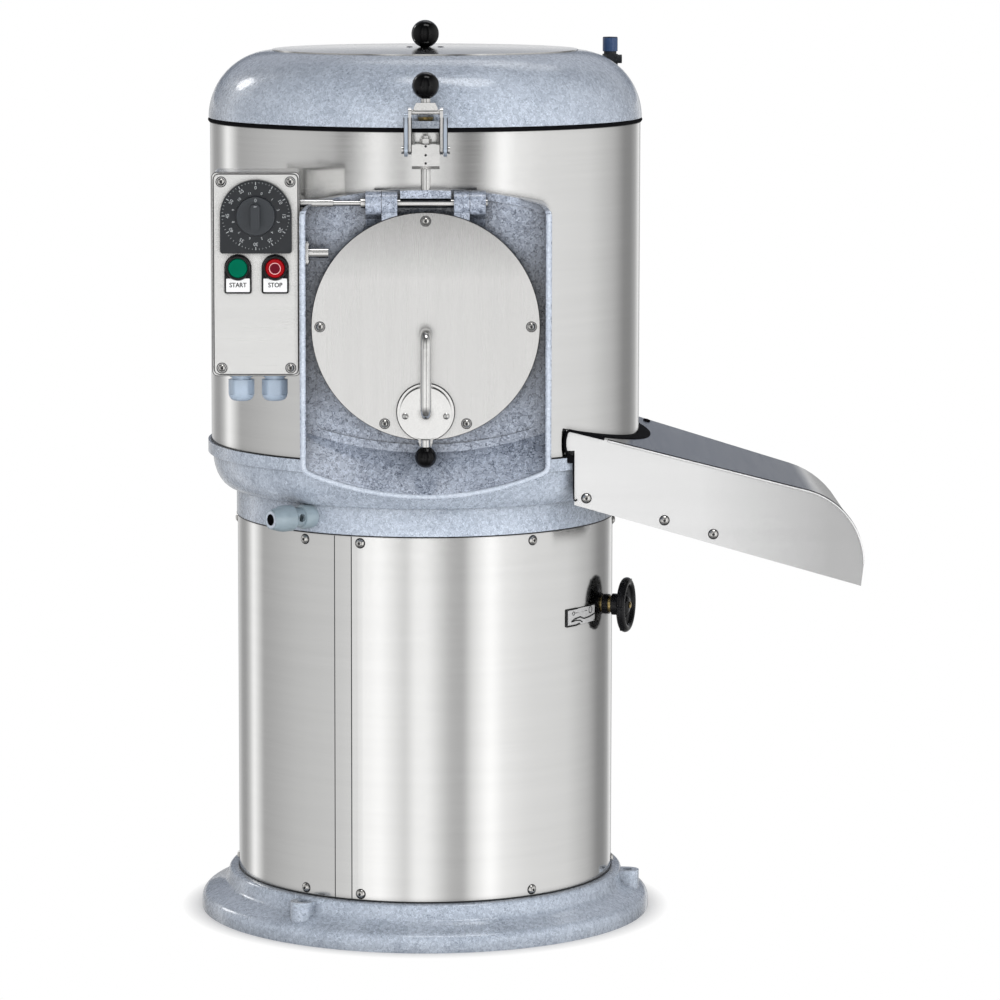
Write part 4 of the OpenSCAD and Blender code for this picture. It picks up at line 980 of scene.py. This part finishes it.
@dataclass
class TimerScale(Trim):
    """White ticks and numbers of the timer, and the mark on its knob."""

    x: float = -187.1
    z: float = 837.0
    face: float = -296.0
    ring: float = 37.6
    number_ring: float = 31.0
    inner_ring: float = 25.4
    knob_face: float = -301.8
    grip_face: float = -312.3
    nought_up: float = 17.3
    bar_up: float = 11.2
    thin: float = 0.06
    big: float = 5.4
    small: float = 4.2

    def build(self) -> None:
        """Build the scale on the housing and the nought on the knob."""
        marks = []
        for i in range(60):
            length, width = (3.4, 0.75) if i % 5 == 0 else (1.5, 0.35)
            place = self._around(self.ring - length / 2, self.face, 6.0 * i)
            outline = rounded_outline(width, length, 0.15, 1)
            marks.append(slab(f"tick_{i}", outline, self.thin, place))
        for i in range(24):
            far, size, label = self.inner_ring, self.small, str(i // 2)
            if i % 2 == 0:
                far, size, label = self.number_ring, self.big, str(5 * i // 2)
            place = self._around(far, self.face - 0.02, 15.0 * i)
            marks.append(words(f"number_{i}", label, size, place))
        scale = joined("timer_scale", marks)
        self.give(scale, "scale_white", "machine")
        above = facing_front(self.x, self.knob_face - 0.02, self.z + self.nought_up)
        nought = words("knob_nought", "0", self.big, above)
        grip = facing_front(self.x, self.grip_face, self.z + self.bar_up)
        bar = slab("knob_bar", rounded_outline(3.2, 0.8, 0.2, 1), self.thin, grip)
        self.give(joined("knob_mark", [nought, bar]), "scale_white", "timer")
        LOG.info("timer scale with %d marks", len(marks))

    def _around(self, far: float, y: float, turn: float) -> Matrix:
        """Place on a ring about the timer's axis, facing the front.

        Args:
            far: Radius of the ring.
            y: Place of the piece's back.
            turn: Degrees clockwise from the top, by which the piece is turned too.

        Returns:
            The matrix, in metres.
        """
        t = math.radians(turn)
        return facing_front(self.x + far * math.sin(t), y, self.z + far * math.cos(t), -turn)


@dataclass
class ButtonLabels(Trim):
    """White name plates of the two push-buttons and the ring on the red cap.

    A plate is its width, height and corner. Letters are their size and narrowness.
    """

    start_x: float = -207.1
    stop_x: float = -166.0
    z: float = 779.4
    face: float = -292.0
    cap_face: float = -302.0
    plate: Triple = (26.0, 14.8, 0.8)
    plate_drop: float = 19.2
    letters: tuple[float, float] = (7.2, 0.9)
    boldness: tuple[float, float] = (0.17, 0.1)

    def build(self) -> None:
        """Build plates, words and the ring. A word is five copies, shifted to make it bold."""
        dx, dz = self.boldness
        middle = self.z - self.plate_drop
        size, narrow = self.letters
        shifts = [(-dx, -dz), (dx, -dz), (-dx, dz), (dx, dz), (0, 0)]
        for name, x in (("START", self.start_x), ("STOP", self.stop_x)):
            place = facing_front(x, self.face, middle)
            plate = slab(f"plate_{name.lower()}", rounded_outline(*self.plate), 0.5, place)
            self.give(plate, "label_white", "machine")
            strokes = []
            for k, (right, up) in enumerate(shifts):
                place = facing_front(x + right, self.face - 0.54, middle + up)
                strokes.append(words(f"stroke_{k}", name, size, place, narrow))
            self.give(joined(f"word_{name.lower()}", strokes), "letter_black", "machine")
        for name, profile, finish in (
            ("stop_ring", [(5.7, 0.0), (5.7, 0.25), (6.5, 0.25), (6.5, 0.0)], "label_pink"),
            ("stop_middle", [(0.0, 0.12), (5.7, 0.12), (5.7, 0.0)], "cap_wine"),
        ):
            place = facing_front(self.stop_x, self.cap_face, self.z)
            self.give(lathe(name, profile, place, 40), finish, "stop")
        LOG.info("two button labels")


@dataclass
class ScrewTrim(Trim):
    """Painted shade at each button-head screw: a dark ring round its foot as painted shadow, and a
    dark socket in it as painted shade.
    """

    head: float = 5.25
    socket: float = 1.78
    on_sheet: float = 0.235
    nearness: float = 0.014

    def build(self) -> None:
        """Find the screws of three nodes and give each one its painted shadow ring and socket."""
        for node, body in (
            ("panel_screws", "machine"), ("control_screws", "machine"), ("door_screws", "door"),
        ):
            marks = []
            for low, high in self._screws(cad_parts[node]):
                x, y, z = (low + high) / 2
                place = facing_front(x / MM, high[1] / MM - 0.05, z / MM)
                if math.hypot(x, y) < self.on_sheet:
                    azimuth = math.degrees(math.atan2(x, -y))
                    place = on_cabinet(azimuth, CABINET_RADIUS + 0.05, z / MM)
                marks += self._marks(f"{node}_{len(marks)}", place)
            self.give(joined(f"{node}_trim", marks), "line_and_shade_black", body)
        LOG.info("trimmed the screws")

    def _screws(self, node: Object) -> list[tuple[np.ndarray, np.ndarray]]:
        """Corners of the box round each screw of a node, found by nearness.

        Args:
            node: The CAD node, with its screws well apart.

        Returns:
            Lowest and highest corner of each screw, in metres.
        """
        flat = np.empty(3 * len(node.data.vertices))
        node.data.vertices.foreach_get("co", flat)
        world = np.array(node.matrix_world)
        points = flat.reshape(-1, 3) @ world[:3, :3].T + world[:3, 3]
        boxes = []
        while len(points):
            mine = np.linalg.norm(points - points[0], axis=1) < self.nearness
            boxes.append((points[mine].min(0), points[mine].max(0)))
            points = points[~mine]
        return boxes

    def _marks(self, name: str, place: Matrix) -> list[Object]:
        """Build the painted shadow ring and the painted shade of the socket of one screw.

        Args:
            name: Start of the pieces' names.
            place: Frame of the screw, with its head along local Z.

        Returns:
            The two pieces.
        """
        r = self.head
        # A dark ring at the head's foot is painted shadow, and the dark hexagon in the socket is
        # painted shade.
        ring = [(r - 0.1, 0.5), (r + 0.35, 0.45), (r + 0.75, 0.02), (r - 0.1, 0.02), (r - 0.1, 0.5)]
        hexagon = [(0.0, 2.5), (self.socket, 2.5)]
        return [lathe(name + "_shadow_ring", ring, place, 28), lathe(name + "_socket", hexagon, place, 6)]


@dataclass
class SeamLines(Trim):
    """The dark joints between the sheets and the castings.

    A joint is a radius, a height and the thickness of its line.
    """

    joints: tuple[Triple, ...] = (
        (220.35, 468.6, 0.95), (220.3, 48.6, 0.8), (250.35, 556.5, 0.9), (250.4, 926.9, 0.7),
    )
    seams: tuple[float, ...] = (-27.97, -22.4, 177.2, 182.8)
    seam_height: float = 418.0
    seam_middle: float = 258.0

    def build(self) -> None:
        """Build the round joints and the upright seams."""
        around = np.linspace(0, 357.5, 144)
        lines = [
            tube(f"joint_{k}", round_path(r, around, np.full(144, z)), thick, 8, True)
            for k, (r, z, thick) in enumerate(self.joints)
        ]
        outline = rounded_outline(0.85, self.seam_height, 0.2, 1)
        for k, azimuth in enumerate(self.seams):
            place = on_cabinet(azimuth, CABINET_RADIUS, self.seam_middle)
            lines.append(slab(f"seam_{k}", outline, 0.12, place))
        self.give(joined("seam_lines", lines), "line_and_shade_black", "machine")
        LOG.info("%d seam lines", len(lines))


@dataclass
class FrameBead(Trim):
    """The rounded lip on the front edge of the door's frame, in a paler enamel: real rounding with
    a painted highlight.
    """

    half: float = 135.75
    top: float = 840.5
    foot: float = 525.4
    foot_arc: float = 337.7
    corner: float = 10.8
    front: float = -298.4
    thick: float = 2.9

    def build(self) -> None:
        """Build the lip along both sides, the round corners and the arched foot."""
        cz = self.foot + self.foot_arc
        tx = self.half - self.corner
        bz = cz - math.sqrt((self.foot_arc - self.corner) ** 2 - tx**2)
        turn = math.atan2(bz - cz, tx)
        corner = np.linspace(0, turn, 9)
        right = np.r_[
            np.c_[np.full(2, self.half), [self.top, bz + 4]],
            np.c_[tx + self.corner * np.cos(corner), bz + self.corner * np.sin(corner)],
        ]
        sweep = np.linspace(turn, -math.pi - turn, 49)[1:-1]
        bottom = np.c_[self.foot_arc * np.cos(sweep), cz + self.foot_arc * np.sin(sweep)]
        path = upright_path(np.r_[right, bottom, right[::-1] * [-1, 1]], self.front)
        parts = [tube("frame_bead", path, self.thick, 14)]
        cap = [(0, 2.6), (1.5, 2.2), (2.5, 1.2), (self.thick, 0), (self.thick, -1)]
        for k, x in enumerate((-self.half, self.half)):
            parts.append(lathe(f"bead_end_{k}", cap, at(x, self.front, self.top), 14))
        made = joined("frame_bead", parts)
        shade_smooth(made)
        self.give(made, "highlit_edge_enamel", "machine")
        LOG.info("frame bead")


@dataclass
class ChuteTrim(Trim):
    """Rubber edging, the folded rim's painted highlight and painted shadow line, and the small
    marks of the peel chute.

    A line of the edging is a name, its points with y from the near side, its
    thickness and the points round it.
    """

    near: float = -195.5
    top_at_foot: float = 584.8
    foot_x: float = 170.0
    slope: float = 14.2
    reach: float = 497.0
    round: float = 86.0
    rim_start: float = 206.0
    edging: tuple[tuple[str, tuple[Triple, ...], float, int], ...] = (
        ("tab_edging", (
            (202, 1, 577.6), (188, 0, 581.2), (170, 0, 585.6), (162.5, 0, 587.2),
            (159.4, 0, 584.6), (157.6, 0, 577), (157.4, 0, 570), (158.6, 0, 563.5),
            (161.5, 0, 559.2), (166, 0, 557),
        ), 1.7, 10),
        ("tab_line", ((166.9, 0, 557), (167.4, 0, 530), (167.8, 0, 509)), 0.75, 8),
        ("tab_notch", ((167.6, 0, 508.5), (169.5, 0, 507), (171.5, 0, 508.5)), 0.9, 8),
    )
    blob: tuple[float, float] = (163.5, 554.5)
    far_screw: Triple = (266.0, 126.0, 560.5)

    def build(self) -> None:
        """Build the edging at the drum, the two rim lines (a painted shadow and a painted
        highlight) and the far screw.
        """
        black = []
        for name, points, radius, steps in self.edging:
            path = (np.array(points) + [0, self.near - 0.9, 0]) * MM
            black.append(tube(name, path, radius, steps))
        blob = facing_front(self.blob[0], self.near - 1.0, self.blob[1])
        black.append(slab("tab_blob", rounded_outline(6.5, 8.5, 1.5), 1.2, blob))
        # A black line just behind the rim: painted shadow.
        top = self._top_line()
        shadow = upright_path(top + [0, 0.5], self.near + 2.2)
        black.append(tube("rim_shadow", shadow, 0.8, 8))
        place = at(*self.far_screw) @ turned(self.slope, "Y")
        black.append(lathe("far_screw", [(0, 2.4), (3.4, 1.8), (4.6, 0.1)], place, 24))
        self.give(joined("chute_edging_and_shadow_line", black), "rubber_and_shade_black", "machine")
        # The chute's rim line in near white: painted highlight on the folded edge.
        bright = tube("chute_rim", upright_path(top - [0, 0.6], self.near - 0.3), 1.0, 10)
        shade_smooth(bright)
        self.give(bright, "highlight_white", "machine")
        LOG.info("chute trim")

    def _top_line(self) -> np.ndarray:
        """Side view of the hood's top edge: a slope, then the round of the tip.

        Returns:
            Array (n, 2) of x and z.
        """
        tilt = math.radians(self.slope)
        cx = self.reach - self.round
        fall = math.tan(tilt)
        cz = self.top_at_foot - (cx - self.foot_x) * fall - self.round / math.cos(tilt)
        a = np.linspace(math.pi / 2 - tilt, 0, 49)
        z = self.top_at_foot - (self.rim_start - self.foot_x) * fall
        tip = np.c_[cx + self.round * np.cos(a), cz + self.round * np.sin(a)]
        return np.r_[[[self.rim_start, z]], tip]


@dataclass
class HeightPlate(Trim):
    """Indicator plate for the knife disc's height, beside the handwheel.

    A ring is an azimuth, a height and a radius.
    """

    start: float = 47.2
    stop: float = 62.2
    low: float = 355.2
    high: float = 374.2
    plate_radius: float = 220.75
    mark_radius: float = 221.0
    steps: int = 12
    rings: tuple[Triple, ...] = ((50.2, 369.2, 1.9), (59.4, 369.0, 3.6))

    def build(self) -> None:
        """Build the curved plate, its outline, the two rings with a line and the curved slot."""
        azimuths = np.linspace(self.start, self.stop, self.steps)
        middle = np.full(self.steps, (self.low + self.high) / 2)
        line = round_path(self.plate_radius, azimuths, middle)
        half = (self.high - self.low) / 2 * MM
        points = np.concatenate([line + [0, 0, s * half] for s in (-1.0, 1.0)])
        faces = grid_faces(2, self.steps, False, False)
        plate = object_from_arrays("height_plate", points, faces)
        thick = plate.modifiers.new("thick", "SOLIDIFY")
        thick.thickness, thick.offset = 0.7 * MM, 0.0
        self.give(plate, "label_steel", "machine")
        black = []
        for k, (stops, width) in enumerate(self._marks()):
            path = round_path(self.mark_radius, *zip(*stops))
            black.append(tube(f"plate_mark_{k}", path, width, 6))
        for k, (azimuth, z, r) in enumerate(self.rings):
            ring = [(r - 0.45, 0), (r - 0.45, 0.4), (r + 0.45, 0.4), (r + 0.45, 0)]
            place = on_cabinet(azimuth, self.mark_radius - 0.1, z)
            black.append(lathe(f"plate_ring_{k}", ring, place, 24))
        self.give(joined("height_marks", black), "line_and_shade_black", "machine")
        LOG.info("height plate")

    def _marks(self) -> list[tuple[Pairs, float]]:
        """Azimuth and height pairs of each line on the plate, and the line's thickness."""
        a, b, low, high = self.start, self.stop, self.low, self.high
        return [
            ([(a, low), (a, high)], 1.1),
            ([(a, high), (a + 5, high)], 0.9),
            ([(a, low), (a + 4.5, low), (a + 6, low + 1.2)], 1.1),
            ([(a + 4, high), (b - 4, high)], 0.55),
            ([(b - 4, high), (b, high)], 0.9),
            ([(a + 6, low), (b, low + 1)], 0.4),
            ([(51.0, 369.2), (57.4, 369.4)], 0.45),
            ([(49.2, 359.8), (50.7, 362.6), (53.6, 363.8), (55.5, 360.9), (58.6, 361.4),
              (b, 363.6)], 0.95),
            ([(49.2, 359.8), (51.5, 360.6), (53.4, 359.8), (54.7, 357.4)], 0.8),
        ]


@dataclass
class SmallTrim(Trim):
    """Lines round the box, a painted shadow line round the door, lock plate, wheel nut, pipe collar
    and lid screws.

    An outline is a name, its width, height and corner, the parts of a corner, y
    and thickness. A circle is a name, its radius, y, z and thickness.
    """

    inlet_azimuth: float = -36.8
    inlet_turn: float = -51.9
    inlet_foot: float = 221.0
    inlet_height: float = 487.3
    block_height: float = 908.7
    pipe: tuple[float, float] = (222.0, 172.0)
    outlines: tuple[tuple[str, Triple, int, float, float], ...] = (
        ("cover_line", (92.9, 221.4, 6.4), 5, -288.35, 0.85),
        ("box_line", (96.4, 224.9, 5.4), 6, -287.2, 0.6),
    )
    circles: tuple[tuple[str, float, float, float, float], ...] = (
        ("door_shadow_line", 125.9, -286.1, 713.7, 0.9), ("hub_line", 31.9, -288.5, LOCK_HEIGHT, 0.75),
    )
    dots: Triple = (4.6, -5.2, -14.2)
    arm_edges: tuple[float, ...] = (-23.9, -19.4, -15.6, 15.6, 19.4, 23.9)

    def build(self) -> None:
        """Build each small piece and say what it rides on."""
        self._lines()
        self._fittings()
        LOG.info("small trim")

    def _lines(self) -> None:
        """Build the dark joint lines of the box, and the painted shade lines of the latch and the
        door.
        """
        for name, size, steps, y, thick in self.outlines:
            path = upright_path(rounded_outline(*size, steps) + BOX_CENTRE, y)
            self.give(tube(name, path, thick, 8, True), "line_and_shade_black", "machine")
        z = self.block_height
        # Dark discs on the latch block's three dimples: painted shade.
        dots = [
            lathe(f"dot_{k}", [(0, 0.1), (1.4, 0.1)], facing_front(0, -290.5, z + up), 16)
            for k, up in enumerate(self.dots)
        ]
        self.give(joined("block_dimple_shade", dots), "line_and_shade_black", "machine")
        # Dark lines at the edges and gaps of the latch arms: partly the gaps, partly painted shade.
        lines = []
        for k, x in enumerate(self.arm_edges):
            path = np.array([(x, -288.2, z - 3), (x, -287.4, z + 14), (x, -286.6, z + 36)]) * MM
            lines.append(tube(f"arm_shade_line_{k}", path, 0.45, 8))
        self.give(joined("arm_shade_lines", lines), "line_and_shade_black", "latch")
        a = np.linspace(0, TURN, 120, endpoint=False)
        circle = np.c_[np.cos(a), np.sin(a)]
        # The door's ring is a dark line at the gap round the door: partly the gap, partly painted
        # shadow.
        for name, radius, y, z, thick in self.circles:
            path = upright_path(radius * circle + [0, z], y)
            self.give(tube(name, path, thick, 8, True), "line_and_shade_black", "door")

    def _fittings(self) -> None:
        """Build the small turned pieces and the plate of the lock."""
        # A black disc in the inlet's bore: painted shade.
        bore = [(0, 0), (6.4, 0), (6.4, 5.6)]
        self.give(lathe("inlet_bore_shade", bore, self._inlet(48.2), 28), "rubber_and_shade_black", "machine")
        mouth = [(6.6, 0.12), (9.4, 0.12), (10.4, -0.6)]
        # The mouth's paler rim is a painted highlight.
        self.give(lathe("inlet_mouth", mouth, self._inlet(54.0), 40), "highlit_edge_enamel", "machine")
        spin = on_cabinet(WHEEL_AZIMUTH, 0, WHEEL_HEIGHT)
        collar = [(9.9, 214.0), (11.6, 214.0), (11.6, 223.6), (9.9, 223.6)]
        self.give(lathe("bush_collar", collar, spin, 32), "wheel_black", "machine")
        outline = np.array([(-8, -30), (-6.6, -37.8), (6.6, -37.8), (8, -30), (8, 28), (-8, 28)])
        place = facing_front(0, -291.6, LOCK_HEIGHT)
        self.give(slab("lock_plate", outline, 5.4, place), "polished_steel", "lock")
        nut = [(0, 249.6), (2.6, 249.6), (4.4, 248.6), (4.4, 246.6), (5.6, 246.2)]
        self.give(lathe("wheel_nut", nut, spin, 6), "turned_brass", "adjuster")
        collar = [(9.0, 1001.0), (9.0, 1016.6), (8.2, 1018.0), (4.6, 1018.0)]
        self.give(lathe("pipe_collar", collar, at(*self.pipe, 0), 28), "collar_blue", "machine")
        for k, x in enumerate((-18.0, 18.0)):
            rosette = lathe(f"rosette_{k}", [(0, 1.6), (3.4, 1.2), (4.2, 0)], at(x, 0, 1011.2), 20)
            self.give(rosette, "line_and_shade_black", "lid")

    def _inlet(self, out: float) -> Matrix:
        """Frame on the inlet fitting's axis.

        Args:
            out: Distance from the casting's wall.

        Returns:
            The matrix, in metres.
        """
        a, r = math.radians(self.inlet_azimuth), self.inlet_foot
        foot = at(r * math.sin(a), -r * math.cos(a), self.inlet_height)
        return foot @ turned(self.inlet_turn, "Z") @ facing_front(0, -out, 0)


@dataclass
class Studio:
    """Pale floor, soft light and the camera at the photograph's angle.

    Places are in metres. A lamp is a name, a place, a side and watts. Panels and
    veil are azimuth and brightness pairs: the panels are what metal mirrors all
    round, and the veil scales them near the horizon. A softbox is a direction,
    its half width in degrees and its power.
    """

    eye: Triple = (-0.01014, -5.2981, 1.2000)
    tilt: float = 7.094
    yaw: float = 0.114
    lens: float = 163.834
    shift: tuple[float, float] = (0.0745, -0.05)
    floor_near: float = 0.25
    floor_far: float = 0.288
    lamps: tuple[tuple[str, Triple, float, float], ...] = (
        ("key", (-1.0, -3.2, 1.0), 2.2, 30), ("fill", (2.8, -2.4, 1.2), 2.4, 36),
        ("top", (0.5, 0.6, 3.2), 2.2, 7), ("low", (0.2, -3.2, 0.35), 1.4, 34),
    )
    panels: Pairs = (
        (-180, 0.4), (-166, 0.72), (-154, 0.42), (-146, 0.4), (-139, 0.62), (-131, 1.3),
        (-125, 0.95), (-118, 0.5), (-84, 0.7), (-58, 0.78), (-47, 0.86), (-37, 1.26),
        (-28, 1.42), (-18, 1.08), (-12, 0.85), (-6, 1.27), (1, 1.25), (8, 0.94), (15, 0.64),
        (23, 0.56), (28, 1.0), (40, 1.5), (49, 1.15), (65, 0.98), (97, 0.9), (119, 0.62),
        (133, 0.32), (143, 0.3), (153, 0.48), (163, 1.0), (172, 0.36), (180, 0.4),
    )
    veil: Pairs = (
        (-180, 1.0), (-74, 0.96), (-60, 0.84), (-51, 0.68), (-44, 0.28), (-39, 0.34),
        (-32, 0.58), (-24, 0.9), (-16, 0.72), (-4, 0.74), (8, 0.84), (14, 1.05), (20, 0.47),
        (28, 0.23), (34, 0.68), (42, 0.98), (56, 1.0), (180, 1.0),
    )
    sky: tuple[tuple[float, Triple], ...] = (
        (0.0, (0.9, 0.9, 0.9)), (0.036, (0.9, 0.9, 0.9)), (0.058, (0.15, 0.165, 0.2)),
        (0.17, (0.19, 0.21, 0.25)), (0.27, (0.5, 0.53, 0.6)), (0.6, (0.6, 0.63, 0.7)),
        (1.0, (0.25, 0.27, 0.32)),
    )
    softboxes: tuple[tuple[Triple, float, float], ...] = (
        ((-0.643, 0.645, 0.431), 5.6, 6.5), ((0.05, 0.64, 0.77), 11.0, 1.2),
        ((0.3, 0.55, 0.78), 9.0, 1.3), ((0.0, -0.15, 0.98), 9.0, 4.5),
        ((0.26, -0.16, 0.95), 9.0, 4.5), ((0.0, 1.0, 0.05), 3.8, 0.25),
    )
    diffuse: tuple[tuple[float, Triple], ...] = (
        (0.45, (0.88, 0.88, 0.88)), (0.62, (0.5, 0.5, 0.51)), (0.95, (0.16, 0.16, 0.17)),
    )

    def build(self) -> None:
        """Build floor, world, lamps and camera."""
        self._floor()
        self._world()
        for lamp in self.lamps:
            self._lamp(*lamp)
        camera = bpy.data.cameras.new("camera")
        camera.lens = self.lens
        camera.sensor_width = 36
        camera.shift_x, camera.shift_y = self.shift
        camera.clip_end = 50
        eye = linked("camera", camera)
        eye.location = self.eye
        eye.rotation_euler = (math.radians(90 - self.tilt), 0, math.radians(-self.yaw))
        bpy.context.scene.camera = eye
        bpy.context.scene.view_settings.view_transform = "Standard"

    def _floor(self) -> None:
        """A pale floor that mirrors let through, so that metal shows the studio."""
        outline = rounded_outline(30000, 30000, 10)
        floor = slab("floor", outline, 1.0, Matrix.Translation((0, 0, -0.0012)))
        material = bpy.data.materials.new("pale_floor")
        material.use_nodes = True
        net = Net(material.node_tree)
        shader = net.put(
            material.node_tree.nodes["Principled BSDF"],
            Base_Color=(0.96, 0.96, 0.96, 1), Roughness=0.9, Specular_IOR_Level=0.1,
        )
        path = net.node("ShaderNodeLightPath").outputs
        far = net.vector("LENGTH", net.node("ShaderNodeTexCoord").outputs["Object"])
        fade = net.spread(far, self.floor_near, self.floor_far, 0.0, 1.0)
        seen = net.math("MULTIPLY", fade, path["Is Camera Ray"])
        white = net.node("ShaderNodeEmission")
        clear = net.node("ShaderNodeBsdfTransparent")
        shown = shader
        for share, other in ((seen, white), (path["Is Glossy Ray"], clear)):
            both = net.node("ShaderNodeMixShader")
            for socket, value in zip(both.inputs, (share, shown.outputs[0], other.outputs[0])):
                net.feed(socket, value)
            shown = both
        net.put(material.node_tree.nodes["Material Output"], Surface=shown.outputs[0])
        floor.data.materials.append(material)

    def _world(self) -> None:
        """White all round, with softer and brighter panels where glossy rays look."""
        world = bpy.data.worlds.new("studio")
        bpy.context.scene.world = world
        world.use_nodes = True
        net = Net(world.node_tree)
        place = net.node("ShaderNodeTexCoord").outputs["Generated"]
        x, y, z = net.node("ShaderNodeSeparateXYZ", Vector=place).outputs
        azimuth = net.math("ARCTAN2", x, net.math("MULTIPLY", y, -1.0))
        turn = net.spread(azimuth, -math.pi, math.pi, 0.0, 1.0)
        bands, veil = (
            net.ramp(turn, [((a + 180) / 360, (v, v, v)) for a, v in stops])
            for stops in (self.panels, self.veil)
        )
        dusk = net.spread(net.math("ABSOLUTE", z), 0.35, 0.85, 1.0, 0.2)
        high = net.spread(z, -0.11, -0.055, 0.0, 1.0)
        less = net.math("MULTIPLY", high, net.math("SUBTRACT", veil, 1.0))
        dimmed = net.math("MULTIPLY", dusk, net.math("ADD", 1.0, less))
        behind = net.spread(net.math("ABSOLUTE", azimuth), 2.5, 2.75, 0.0, 1.0)
        behind = net.math("MULTIPLY", behind, net.spread(z, 0.0, 0.025, 0.0, 1.0))
        sky = net.ramp(z, self.sky)
        bands = net.mix(behind, net.vector("SCALE", bands, dimmed), sky)
        for aim, wide, power in self.softboxes:
            near = net.vector("DOT_PRODUCT", place, Vector(aim).normalized())
            edge = math.cos(math.radians(wide))
            soft, full = edge - 0.35 * (1 - edge), edge + 0.5 * (1 - edge)
            bands = net.vector("ADD", bands, net.spread(near, soft, full, 0.0, power))
        path = net.node("ShaderNodeLightPath").outputs
        dull = net.ramp(net.spread(z, -1.0, 1.0, 0.0, 1.0), self.diffuse)
        seen = net.mix(path["Is Glossy Ray"], dull, bands)
        whole = net.mix(path["Is Camera Ray"], seen, (1, 1, 1))
        net.put(world.node_tree.nodes["Background"], Color=whole)

    def _lamp(self, name: str, place: Triple, size: float, power: float) -> None:
        """Hang one soft square lamp that faces the machine, unseen by mirrors.

        Args:
            name: Name of the lamp.
            place: Its place in metres.
            size: Its side in metres.
            power: Its power in watts.
        """
        lamp = bpy.data.lights.new(name, "AREA")
        lamp.size = size
        lamp.energy = power
        hung = linked(name, lamp)
        hung.location = place
        hung.rotation_mode = "QUATERNION"
        hung.rotation_quaternion = (Vector((0, 0, 0.5)) - Vector(place)).to_track_quat("-Z", "Y")
        hung.visible_glossy = False


def main() -> None:
    """Build every sub-assembly in order."""
    logging.basicConfig(level=logging.INFO, format="%(message)s")
    finishes = Finishes()
    for part in (
        CadShell, TimerScale, ButtonLabels, ScrewTrim, SeamLines, FrameBead, ChuteTrim,
        HeightPlate, SmallTrim,
    ):
        part(finishes).build()
    Studio().build()


if __name__ == "__main__":
    main()
